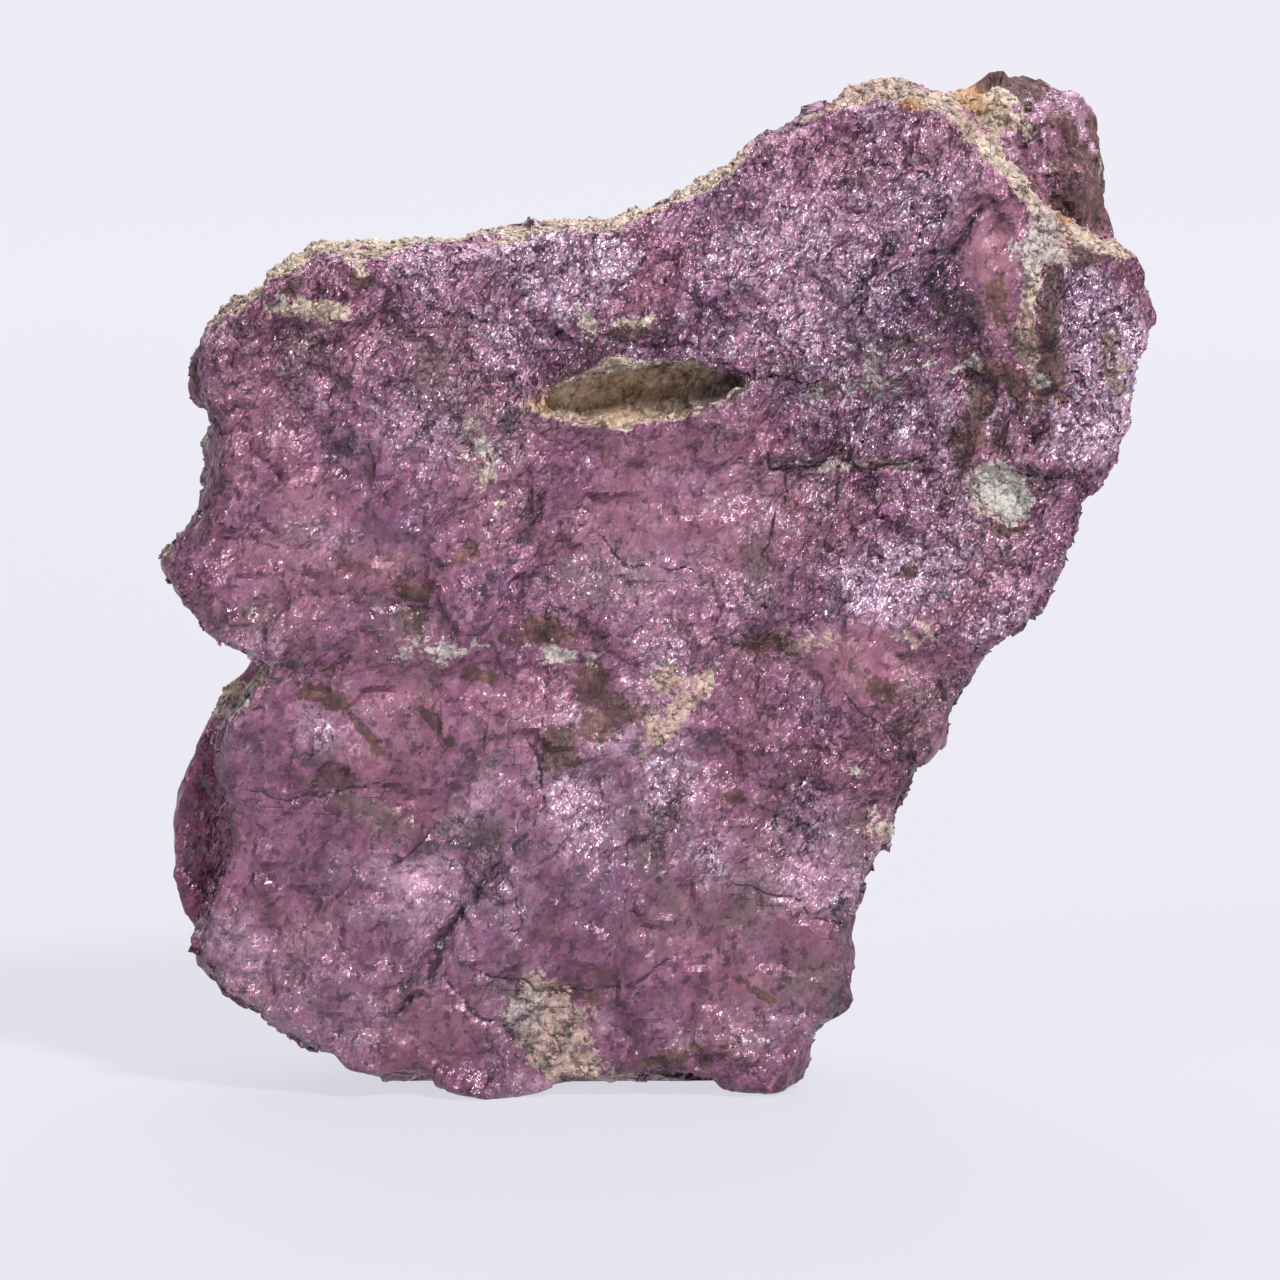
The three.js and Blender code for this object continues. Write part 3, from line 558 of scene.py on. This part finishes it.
grain_relief = 0.1 * facets(places, 0.75, 1.4, 25, 162) + 0.1 * hills(places, 1.3, 172)
relief = facing_front * front_relief + off_front * (1 - 0.7 * layer) * side_relief
relief = relief * (1 - (0.2 + 0.3 * facing_front) * grainy_here) + grainy_here * grain_relief
relief = relief * (1 - 0.8 * np.clip(glassy + 0.5, 0, 1)) - crack_sink
near_foot = rise(up, 0.6)
moved = places + normals * (relief * near_foot)[:, None]
moved[:, 2] = np.maximum(moved[:, 2], 0.0)
stone.data.vertices.foreach_set("co", (moved * MM).ravel())
stone.data.update()
stone.data.shade_flat()
print("relief from", round(float(relief.min()), 2), "to", round(float(relief.max()), 2), "mm")

# %% Keep the map on the mesh
def keep(mesh, name, values):
    attribute = mesh.attributes.new(name, "FLOAT", "POINT")
    attribute.data.foreach_set("value", values.astype(np.float32))


PAINT_FIELDS = {
    "matrix": matrix, "stain": stain, "dark": dark, "blue": blue, "pink_and_painted_highlight": pink_and_painted_highlight, "glint": glint,
    "peach": peach, "grey": grey, "olive": olive, "umber": umber, "hollow_tone_and_painted_shade": hollow_tone_and_painted_shade, "wine": wine,
    "calm": calm, "clouds": clouds, "glassy": glassy, "amber": amber, "rust": rust, "front": facing_front,
    "crack": crack_distance / crack_width,
}
SCATTER_FIELDS = {"flaky": flaky, "grainy": grainy}
for name, values in (PAINT_FIELDS | SCATTER_FIELDS).items():
    keep(stone.data, name, np.clip(values, -8, 8))
print("attributes:", [a.name for a in stone.data.attributes if not a.name.startswith(".")])

# %% [markdown]
# ## The finish
# Purpurite has a silky to submetallic lustre. Its torn sheets are too small to model one by one, so the
# finish gives each little cell of the surface its own tilt and tone: light catches some cells and misses
# others, as it does on foil. The colour also holds painted light: a pale painted sheen and small painted
# glints where the cleavage glints, painted highlights along the lower right edge and the hollow's lower lip,
# and painted shade along cracks, in hairlines, in a hole, along a cleft and inside the hollow. Matrix and
# stain are dull, so they lose the metal and the gloss.

# %% Colours and the helper that adds a node
def linear(hex_colour):
    """An sRGB hex colour as the linear red, green, blue and alpha that Blender mixes."""
    channels = [int(hex_colour[i : i + 2], 16) / 255 for i in (1, 3, 5)]
    return [c / 12.92 if c <= 0.04045 else ((c + 0.055) / 1.055) ** 2.4 for c in channels] + [1.0]


def add(tree, kind, settings=None, inputs=None):
    """Adds a node, sets its properties, and fills or links its inputs.

    A word in place of the settings is the node's operation. A node among the inputs gives its first output.
    """
    node = tree.nodes.new(kind)
    if isinstance(settings, str):
        settings = {"operation": settings}
    if isinstance(inputs, tuple):
        inputs = dict(enumerate(inputs))
    for name, value in (settings or {}).items():
        setattr(node, name, value)
    for key, value in (inputs or {}).items():
        if isinstance(value, bpy.types.Node):
            value = value.outputs[0]
        if isinstance(value, bpy.types.NodeSocket):
            tree.links.new(value, node.inputs[key])
        else:
            node.inputs[key].default_value = value
    return node


MATH = "ShaderNodeMath"
VECTOR = "ShaderNodeVectorMath"
RANGE = "ShaderNodeMapRange"
SMOOTH = {"interpolation_type": "SMOOTHSTEP"}  # from 0 at the range's first end to 1 at its second


def fill_ramp(node, stops):
    """Gives a colour ramp its stops, each a place and an sRGB hex colour."""
    ramp = node.color_ramp
    while len(ramp.elements) > 1:
        ramp.elements.remove(ramp.elements[-1])
    ramp.elements[0].position = stops[0][0]
    ramp.elements[0].color = linear(stops[0][1])
    for place, colour in stops[1:]:
        ramp.elements.new(place).color = linear(colour)


RAMPS = {
    "purple": [(0.26, "#432739"), (0.4, "#6E4259"), (0.5, "#86546E"), (0.6, "#9B6982"), (0.76, "#BE91A6")],
    "blue": [(0.28, "#2B1A2E"), (0.48, "#573655"), (0.62, "#7E5680"), (0.78, "#A984AD")],
    "pink_and_painted_highlight": [(0.3, "#855364"), (0.5, "#9A6776"), (0.7, "#AF7E8C")],
    "wine": [(0.3, "#57223A"), (0.5, "#7A3B57"), (0.7, "#8F4F6C")],
    "stain": [(0.3, "#291A18"), (0.45, "#402822"), (0.58, "#5A3B30"), (0.72, "#7D5745")],
    "umber": [(0.15, "#4B413E"), (0.4, "#8B7565"), (0.6, "#C0A488"), (0.85, "#E8D5BC")],
    "matrix": [(0.3, "#78695D"), (0.41, "#AB9989"), (0.53, "#C9B7A6"), (0.68, "#E3D6CA")],
    "grey": [(0.3, "#685F5D"), (0.42, "#998E8A"), (0.54, "#BDB1AC"), (0.7, "#DCD3CF")],
    "glassy": [(0.3, "#A9A49C"), (0.5, "#C1BBB3"), (0.7, "#D6CFC8")],
    "peach": [(0.32, "#544A46"), (0.43, "#947E76"), (0.54, "#BF9F95"), (0.72, "#DDC5BB")],
}
# Painted light among these paints: the pale lilac laid over the glinting zones is a painted sheen, the
# near-white one is painted glints, and the darkest purple is painted shade for hairlines and cracks.
PLAIN_PAINTS = {
    "real_and_painted_sheen": "#ECC8DA", "glint": "#F0E4F1", "olive": "#6C625C", "rust": "#4C3229", "amber": "#A8763C",
    "dark": "#281C25", "painted_hairline_shade": "#34202E",
}
print("ramps:", len(RAMPS), "plain paints:", len(PLAIN_PAINTS))

# %% One material for the whole stone
finish = bpy.data.materials.new("purpurite_cleavage_with_matrix")
finish.use_nodes = True
tree = finish.node_tree
tree.nodes.clear()
coordinates = add(tree, "ShaderNodeTexCoord").outputs["Object"]
fields = {
    name: add(tree, "ShaderNodeAttribute", {"attribute_name": name}).outputs["Fac"] for name in PAINT_FIELDS
}


def per_mm(size):
    """The scale of a pattern whose cells are this many millimetres across."""
    return 1 / (size * MM)


RIB_ANGLE = math.radians(-64)  # the foil's ribs climb steeply to the right
RIB_STRETCH = 1.8
turned = add(
    tree, "ShaderNodeMapping", {"vector_type": "TEXTURE"},
    {"Vector": coordinates, "Rotation": (0, RIB_ANGLE, 0), "Scale": (RIB_STRETCH, 1, 1)},
)
NOISES = {
    # the noise's name: what it lies along, its size in mm, its detail and its roughness
    "mottle": (coordinates, 1.3, 3.0, 0.72), "tear": (coordinates, 1.0, 3.0, 0.8),
    "grain": (coordinates, 0.6, 3.0, 0.75), "fleck": (coordinates, 0.75, 2.0, 0.72),
    "foil": (turned, 0.42, 2.0, 0.65), "crumple": (turned, 1.2, 2.0, 0.6),
    "wobble": (coordinates, 0.45, 1.0, 0.6),
}
noises = {}
for name, (along, size, detail, rough) in NOISES.items():
    settings = {"Vector": along, "Scale": per_mm(size), "Detail": detail, "Roughness": rough}
    noises[name] = add(tree, "ShaderNodeTexNoise", {}, settings)
creases = add(tree, MATH, "SUBTRACT", (noises["crumple"], 0.5))
creases = add(tree, MATH, "ABSOLUTE", (creases,))
print("noises:", sorted(noises))

# %% Tear the edges of the patches
TEARS = {
    # the field's name: how far its edge is torn, and how soft it is
    "matrix": (3.6, 0.16), "stain": (3.8, 0.24), "dark": (4.6, 0.4), "blue": (2.6, 0.7), "pink_and_painted_highlight": (2.2, 0.6),
    "glint": (2.8, 0.6), "peach": (1.6, 0.4), "grey": (1.6, 0.3), "olive": (3.2, 0.5), "umber": (1.6, 0.15),
    "wine": (2.0, 0.6), "glassy": (1.6, 0.25), "rust": (1.4, 0.5), "amber": (1.6, 0.3),
}
torn = add(tree, MATH, "SUBTRACT", (noises["tear"], 0.5))
masks = {}
for name, (reach, softness) in TEARS.items():
    edge = add(tree, MATH, "MULTIPLY_ADD", (torn, reach, fields[name]))
    masks[name] = add(tree, RANGE, SMOOTH, (edge, -softness, softness))
print("masks:", sorted(masks))

# %% Little cleavage cells: each has its own tilt and tone
# The real scales are a few hundredths of a millimetre, too fine to show, so the cells are coarser.
HALF = (0.5, 0.5, 0.5)
wobble = add(tree, VECTOR, "SUBTRACT", (noises["wobble"].outputs["Color"], HALF))
CELLS = {
    # the cells' name: their size in mm, how far their edges wander, and what they lie along
    "sheets": (0.9, 0.8, turned), "scales": (0.38, 0.4, turned), "sparks": (0.17, 0.2, coordinates),
}
cells = {}
for name, (size, wander, along) in CELLS.items():
    bent = add(tree, VECTOR, "MULTIPLY_ADD", (wobble, (wander * MM,) * 3, along))
    voronoi = add(tree, "ShaderNodeTexVoronoi", {}, {"Vector": bent, "Scale": per_mm(size)})
    cells[name] = voronoi.outputs["Color"]
parts = {name: add(tree, "ShaderNodeSeparateColor", {}, (cell,)).outputs for name, cell in cells.items()}
print("cleavage cells:", sorted(CELLS))

# %% Painted shade: dark hairlines in the valleys between the lumps of the crumpled sheets, and along the cracks
broken = add(tree, RANGE, SMOOTH, (noises["mottle"], 0.42, 0.52))
valley = add(tree, RANGE, SMOOTH, (creases, 0.026, 0.008))
painted_hairline_shade = add(tree, MATH, "MULTIPLY_ADD", (fields["calm"], -0.6, 1.0))
painted_hairline_shade = add(tree, MATH, "MULTIPLY", (broken, painted_hairline_shade))
painted_hairline_shade = add(tree, MATH, "MULTIPLY", (valley, painted_hairline_shade))
crack_size = add(tree, MATH, "ABSOLUTE", (fields["crack"],))
crack = add(tree, RANGE, SMOOTH, (crack_size, 1.8, 0.7))
crack_gaps = add(tree, RANGE, SMOOTH, (noises["fleck"], 0.38, 0.5))
crack = add(tree, MATH, "MULTIPLY", (crack, crack_gaps))
crack = add(tree, MATH, "MULTIPLY", (crack, fields["front"]))
painted_hairline_shade = add(tree, MATH, "MULTIPLY", (painted_hairline_shade, 0.75))
painted_crack_and_hairline_shade = add(tree, MATH, "MAXIMUM", (painted_hairline_shade, crack))
print("hairlines and cracks ready")

# %% The purples, the other minerals' paints, and the paints of painted sheen, glints and shade
tone = add(tree, MATH, "MULTIPLY_ADD", (fields["clouds"], 0.7, -0.28))
tone = add(tree, MATH, "MULTIPLY_ADD", (noises["mottle"], 0.55, tone))
tone = add(tree, MATH, "MULTIPLY_ADD", (parts["scales"][0], 0.2, tone))
tone = add(tree, MATH, "MULTIPLY_ADD", (parts["sheets"][0], 0.14, tone))
evenness = add(tree, MATH, "MULTIPLY_ADD", (fields["calm"], -0.35, 1.0))
tone = add(tree, MATH, "SUBTRACT", (tone, 0.5))
tone = add(tree, MATH, "MULTIPLY_ADD", (tone, evenness, 0.5))
mottle = add(tree, MATH, "SUBTRACT", (noises["mottle"], 0.5))
matrix_tone = add(tree, MATH, "MULTIPLY_ADD", (noises["grain"], 0.7, -0.07))
matrix_tone = add(tree, MATH, "MULTIPLY_ADD", (fields["clouds"], 0.4, matrix_tone))
matrix_tone = add(tree, MATH, "MULTIPLY_ADD", (mottle, 0.45, matrix_tone))
# The hollow's tone, which carries its painted shade.
hollow_tone_with_painted_shade = add(tree, MATH, "MULTIPLY_ADD", (fields["hollow_tone_and_painted_shade"], 0.5, -0.2))
hollow_tone_with_painted_shade = add(tree, MATH, "MULTIPLY_ADD", (noises["grain"], 0.9, hollow_tone_with_painted_shade))
TONES = {
    "purple": tone, "blue": tone, "umber": hollow_tone_with_painted_shade, "matrix": matrix_tone, "grey": matrix_tone,
    "peach": matrix_tone,
}
paints = {name: linear(paint) for name, paint in PLAIN_PAINTS.items()}
for name, stops in RAMPS.items():
    paints[name] = add(tree, "ShaderNodeValToRGB", {}, (TONES.get(name, noises["mottle"]),))
    fill_ramp(paints[name], stops)
print("paints:", sorted(paints))

# %% Where the small painted glints and the dark specks are
spark_edge = add(tree, MATH, "MULTIPLY_ADD", (masks["glint"], 0.2, noises["foil"]))
spark_edge = add(tree, MATH, "MULTIPLY_ADD", (parts["sparks"][0], 0.28, spark_edge))
spark_edge = add(tree, MATH, "MULTIPLY_ADD", (fields["calm"], -0.1, spark_edge))
spark = add(tree, RANGE, SMOOTH, (spark_edge, 0.78, 0.88))
speck = add(tree, RANGE, SMOOTH, (noises["fleck"], 0.57, 0.64))
speck_share = add(tree, MATH, "MULTIPLY_ADD", (masks["glint"], -0.6, 1.0))
speck = add(tree, MATH, "MULTIPLY", (speck, speck_share))
print("glints and specks ready")

# %% Lay the colours over each other
def cover(below, mask, strength, paint):
    """Lays a paint over what is below it, where the mask shows."""
    share = add(tree, MATH, "MULTIPLY", (mask, strength))
    return add(tree, "ShaderNodeMix", {"data_type": "RGBA"}, {0: share, 6: below, 7: paint}).outputs[2]


spark_strength = add(tree, MATH, "MULTIPLY_ADD", (masks["glint"], 0.65, 0.22))
umber_specks = add(tree, MATH, "MULTIPLY", (speck, 0.5))
colour = paints["purple"]
# Painted light among these layers: the pale sheen over the glinting zones and the small near-white glints
# are painted highlights, and the dark patches hold painted shade in a hole and along a cleft.
for mask, strength, paint in (
    (masks["glint"], 0.8, "real_and_painted_sheen"), (masks["blue"], 0.8, "blue"), (masks["pink_and_painted_highlight"], 0.8, "pink_and_painted_highlight"),
    (masks["wine"], 0.9, "wine"), (spark, spark_strength, "glint"), (masks["olive"], 0.55, "olive"),
    (speck, 0.6, "dark"), (masks["dark"], 0.7, "dark"), (masks["rust"], 0.55, "rust"),
    (masks["stain"], 0.85, "stain"), (masks["umber"], 1.0, "umber"), (masks["umber"], umber_specks, "dark"),
):
    colour = cover(colour, mask, strength, paints[paint])
pale = paints["matrix"]
for name in ("peach", "grey", "glassy"):
    pale = cover(pale, masks[name], 1.0, paints[name])
colour = cover(colour, masks["matrix"], 1.0, pale)
colour = cover(colour, masks["amber"], 0.65, paints["amber"])
# Painted shade along the cracks and in the crumple's valleys.
colour = cover(colour, painted_crack_and_hairline_shade, 0.9, paints["painted_hairline_shade"])
print("colour layers ready")

# %% Gloss: dull where matrix or stain covers the purple
dull = add(tree, MATH, "MAXIMUM", (masks["matrix"], masks["stain"]))
dull = add(tree, MATH, "MAXIMUM", (dull, masks["umber"]))
bright = add(tree, MATH, "SUBTRACT", (1.0, dull))
rough_range = {"Value": parts["scales"][1], "To Min": 0.22, "To Max": 0.55}
purple_rough = add(tree, RANGE, {}, rough_range)
purple_rough = add(tree, MATH, "MULTIPLY_ADD", (masks["pink_and_painted_highlight"], 0.12, purple_rough))
roughness = add(tree, "ShaderNodeMix", {}, {0: dull, 2: purple_rough, 3: 0.75})
metal = add(tree, MATH, "MULTIPLY_ADD", (fields["calm"], -0.16, 0.3))
metal = add(tree, MATH, "MULTIPLY_ADD", (spark, 0.35, metal))
metal = add(tree, MATH, "MULTIPLY", (bright, metal))
# The coat's weight: real gloss, strongest where the cleavage glints.
real_and_painted_sheen = add(tree, MATH, "MULTIPLY_ADD", (fields["calm"], -0.15, 0.3))
real_and_painted_sheen = add(tree, MATH, "MULTIPLY_ADD", (masks["glint"], 0.75, real_and_painted_sheen))
real_and_painted_sheen = add(tree, MATH, "MULTIPLY", (bright, real_and_painted_sheen))
print("gloss ready")

# %% Crumple the sheets, tilt the cells and add the fine grain
TILTS = {"sheets": 0.35, "scales": 0.4, "sparks": 0.3}
height = add(tree, MATH, "MULTIPLY_ADD", (creases, 2.2, noises["foil"]))
lively = add(tree, MATH, "MULTIPLY_ADD", (fields["calm"], -0.68, 0.85))
lively = add(tree, MATH, "MULTIPLY_ADD", (masks["glint"], 0.5, lively))
normal = add(tree, "ShaderNodeBump", {}, {"Height": height, "Strength": lively, "Distance": 0.6 * MM})
lively = add(tree, MATH, "MULTIPLY", (bright, lively))
for name, tilt in TILTS.items():
    lean = add(tree, VECTOR, "SUBTRACT", (cells[name], HALF))
    amount = add(tree, MATH, "MULTIPLY_ADD", (lively, tilt, 0.1))
    lean = add(tree, VECTOR, "SCALE", {0: lean, "Scale": amount})
    normal = add(tree, VECTOR, "ADD", (normal, lean))
normal = add(tree, VECTOR, "NORMALIZE", (normal,))
print("sheets crumpled and cells tilted")

# %% Join it all in the shader
shader = add(tree, "ShaderNodeBsdfPrincipled", {}, {
    "Base Color": colour, "Roughness": roughness, "Metallic": metal, "Normal": normal, "Coat Weight": real_and_painted_sheen,
    "Coat Roughness": 0.24, "Coat Tint": linear("#F4E6F2"), "Coat Normal": normal,
})
add(tree, "ShaderNodeOutputMaterial", {}, {"Surface": shader})
stone.data.materials.clear()
stone.data.materials.append(finish)
print("nodes in the finish:", len(tree.nodes))

# %% [markdown]
# ## Grains and flakes
# Small grains stick out of the matrix, and torn cleavage flakes lift off the purple. They could be placed by
# hand, but there are thousands. Geometry Nodes scatters one small shape over the surface instead, thickest
# where the stone's own map is strong, and leans each copy its own way.

# %% A tree that scatters one small shape over a surface
FOOT_CLEARANCE = 1.0 * MM
PER_SQUARE_MM = 1e6


def scatter_tree(name, field, field_range, shape):
    """A tree that scatters a shape, thickest where a field of the surface is past the end of its range."""
    scatter = bpy.data.node_groups.new(name, "GeometryNodeTree")
    for label, kind in (
        ("Surface", "NodeSocketGeometry"), ("Pieces per Square Metre", "NodeSocketFloat"),
        ("Smallest", "NodeSocketVector"), ("Largest", "NodeSocketVector"), ("Lean", "NodeSocketFloat"),
        ("Seed", "NodeSocketInt"), ("Finish", "NodeSocketMaterial"),
    ):
        scatter.interface.new_socket(label, in_out="INPUT", socket_type=kind)
    scatter.interface.new_socket("Pieces", in_out="OUTPUT", socket_type="NodeSocketGeometry")
    given = add(scatter, "NodeGroupInput").outputs
    strength = add(scatter, "GeometryNodeInputNamedAttribute", {}, {"Name": field})
    share = add(scatter, RANGE, {}, (strength, *field_range))
    place = add(scatter, "GeometryNodeInputPosition")
    height = add(scatter, "ShaderNodeSeparateXYZ", {}, (place,)).outputs["Z"]
    clear = add(scatter, MATH, "GREATER_THAN", (height, FOOT_CLEARANCE))
    share = add(scatter, MATH, "MULTIPLY", (share, clear))
    density = add(scatter, MATH, "MULTIPLY", (share, given["Pieces per Square Metre"]))
    points = add(
        scatter, "GeometryNodeDistributePointsOnFaces", {},
        {"Mesh": given["Surface"], "Density": density, "Seed": given["Seed"]},
    )
    size = add(
        scatter, "FunctionNodeRandomValue", {"data_type": "FLOAT_VECTOR"},
        {0: given["Smallest"], 1: given["Largest"], "Seed": given["Seed"]},
    )
    spin = add(
        scatter, "FunctionNodeRandomValue", {"data_type": "FLOAT_VECTOR"}, {0: (-1, -1, -1), 1: (1, 1, 1)},
    )
    reach = add(scatter, "ShaderNodeCombineXYZ", {}, (given["Lean"], given["Lean"], math.pi))
    turn = add(scatter, VECTOR, "MULTIPLY", (spin, reach))
    turn = add(scatter, "FunctionNodeEulerToRotation", {}, (turn,))
    leaning = add(
        scatter, "FunctionNodeRotateRotation", {"rotation_space": "LOCAL"},
        {"Rotation": points.outputs["Rotation"], "Rotate By": turn},
    )
    kind, sizes = shape
    shape = add(scatter, kind, {}, sizes)
    copies = add(
        scatter, "GeometryNodeInstanceOnPoints", {},
        {"Points": points, "Instance": shape, "Rotation": leaning, "Scale": size},
    )
    real = add(scatter, "GeometryNodeRealizeInstances", {}, (copies,))
    dressed = add(scatter, "GeometryNodeSetMaterial", {}, {"Geometry": real, "Material": given["Finish"]})
    add(scatter, "NodeGroupOutput", {}, (dressed,))
    return scatter


def scattered(name, scatter, values):
    """Runs a scatter tree on the stone and returns its pieces as one plain object."""
    carrier = in_scene(name, stone.data)
    modifier = carrier.modifiers.new(name, "NODES")
    modifier.node_group = scatter
    for socket in scatter.interface.items_tree:
        if socket.in_out == "INPUT" and socket.name in values:
            modifier[socket.identifier] = values[socket.name]
    graph = bpy.context.evaluated_depsgraph_get()
    evaluated = carrier.evaluated_get(graph)
    mesh = bpy.data.meshes.new_from_object(evaluated, preserve_all_data_layers=True, depsgraph=graph)
    bpy.data.objects.remove(carrier)
    mesh.name = name
    return in_scene(name, mesh)


print("scatter tree ready")

# %% Many-sided grains on the matrix and the vein
GRAIN = ("GeometryNodeMeshIcoSphere", {"Radius": 0.5, "Subdivisions": 1})
grains = scattered("matrix_grains", scatter_tree("matrix_grains", "grainy", (0.05, 0.6), GRAIN), {
    "Pieces per Square Metre": 4.5 * PER_SQUARE_MM, "Smallest": (0.2 * MM, 0.2 * MM, 0.14 * MM),
    "Largest": (0.6 * MM, 0.6 * MM, 0.42 * MM), "Lean": 0.6, "Seed": 11, "Finish": finish,
})
print("grains:", len(grains.data.polygons), "faces")

# %% Torn flakes where the cleavage glints
FLAKE = ("GeometryNodeMeshCylinder", {"Vertices": 4, "Radius": 0.5, "Depth": 0.22})
flakes = scattered("cleavage_flakes", scatter_tree("cleavage_flakes", "flaky", (-0.5, 0.7), FLAKE), {
    "Pieces per Square Metre": 5.8 * PER_SQUARE_MM, "Smallest": (0.22 * MM, 0.18 * MM, 0.26 * MM),
    "Largest": (0.8 * MM, 0.5 * MM, 0.42 * MM), "Lean": 0.2, "Seed": 23, "Finish": finish,
})
print("flakes:", len(flakes.data.polygons), "faces")

# %% Hand the stone, its grains and its flakes to the frame
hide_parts("purpurite_block")
for piece in (stone, grains, flakes):
    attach(piece, "root")
    piece.data.calc_loop_triangles()
    print(piece.name, len(piece.data.loop_triangles), "triangles")

# %% [markdown]
# ## The studio
# A pale sweep runs from the floor up into the background. The key light is small and stands high on the
# right, which makes the cells glint. A weak light fills from the left, a broad one lifts the top edges, and
# one behind the stone lights the sweep.

# %% Floor and backdrop in one sweep
def sweep(width, front, back, height, bend, steps):
    """A floor that bends up into a wall, with its sizes and places in metres."""
    profile = [(front, 0.0)]
    for i in range(steps + 1):
        angle = math.pi / 2 * i / steps
        profile.append((back - bend + bend * math.sin(angle), bend - bend * math.cos(angle)))
    profile.append((back, height))
    points = [(side * width / 2, y, z) for y, z in profile for side in (-1, 1)]
    faces = [(2 * i, 2 * i + 1, 2 * i + 3, 2 * i + 2) for i in range(len(profile) - 1)]
    mesh = bpy.data.meshes.new("studio_sweep")
    mesh.from_pydata(points, [], faces)
    mesh.shade_smooth()
    return in_scene("studio_sweep", mesh)


backdrop = sweep(width=3.0, front=-1.2, back=0.9, height=1.6, bend=0.4, steps=12)
paper = bpy.data.materials.new("matt_studio_paper")
paper.use_nodes = True
paper_shader = paper.node_tree.nodes["Principled BSDF"]
paper_shader.inputs["Base Color"].default_value = linear("#4A494E")
paper_shader.inputs["Emission Color"].default_value = linear("#ECEBF4")
paper_shader.inputs["Emission Strength"].default_value = 0.765
paper_shader.inputs["Roughness"].default_value = 0.9
backdrop.data.materials.append(paper)
print("sweep:", len(backdrop.data.polygons), "faces")

# %% Lights
STONE_MIDDLE = (0, 0, 0.03)
WALL_FOOT = (0, 1.05, 0.0)
LIGHTS = {
    # the light's name: where it stands, what it points at, its size in metres and its power in watts
    "key_light": ((0.26, -0.34, 0.48), STONE_MIDDLE, 0.1, 5.2),
    "fill_light": ((-0.42, -0.3, 0.24), STONE_MIDDLE, 0.15, 0.7),
    "top_light": ((0.05, 0.12, 0.55), STONE_MIDDLE, 0.35, 1.0),
    "backdrop_light": ((0.0, 0.75, 0.7), WALL_FOOT, 0.7, 12.0),
}
for name, (place, target, size, power) in LIGHTS.items():
    light = bpy.data.lights.new(name, "AREA")
    light.shape = "SQUARE"
    light.size = size
    light.energy = power
    lamp = in_scene(name, light)
    lamp.location = place
    lamp.rotation_euler = (Vector(target) - Vector(place)).to_track_quat("-Z", "Y").to_euler()
world = bpy.data.worlds.new("studio_room")
world.use_nodes = True
world.node_tree.nodes["Background"].inputs["Color"].default_value = linear("#E8E8F2")
world.node_tree.nodes["Background"].inputs["Strength"].default_value = 0.1
bpy.context.scene.world = world
bpy.context.scene.view_settings.view_transform = "Standard"
print("lights:", len(bpy.data.lights))

# %% [markdown]
# ## The camera
# The photograph was taken with a long lens, 8 degrees above level, straight at the cleavage face.

# %% Camera
CAMERA_DISTANCE = 450 * MM
CAMERA_RISE = math.radians(8)
IMAGE_WIDTH_MM = 74.25  # what the image spans at the stone's front face
SENSOR = 36.0
AIM = Vector((-1.1, -9.5, 27.1)) * MM  # the point of the front face in the middle of the image
camera_data = bpy.data.cameras.new("long_lens")
camera_data.sensor_width = SENSOR
camera_data.lens = SENSOR * (CAMERA_DISTANCE / MM) / IMAGE_WIDTH_MM
camera_data.clip_start = 10 * MM
camera = in_scene("long_lens", camera_data)
camera.location = AIM + CAMERA_DISTANCE * Vector((0, -math.cos(CAMERA_RISE), math.sin(CAMERA_RISE)))
camera.rotation_euler = (AIM - camera.location).to_track_quat("-Z", "Y").to_euler()
bpy.context.scene.camera = camera
print("lens:", round(camera_data.lens), "mm")
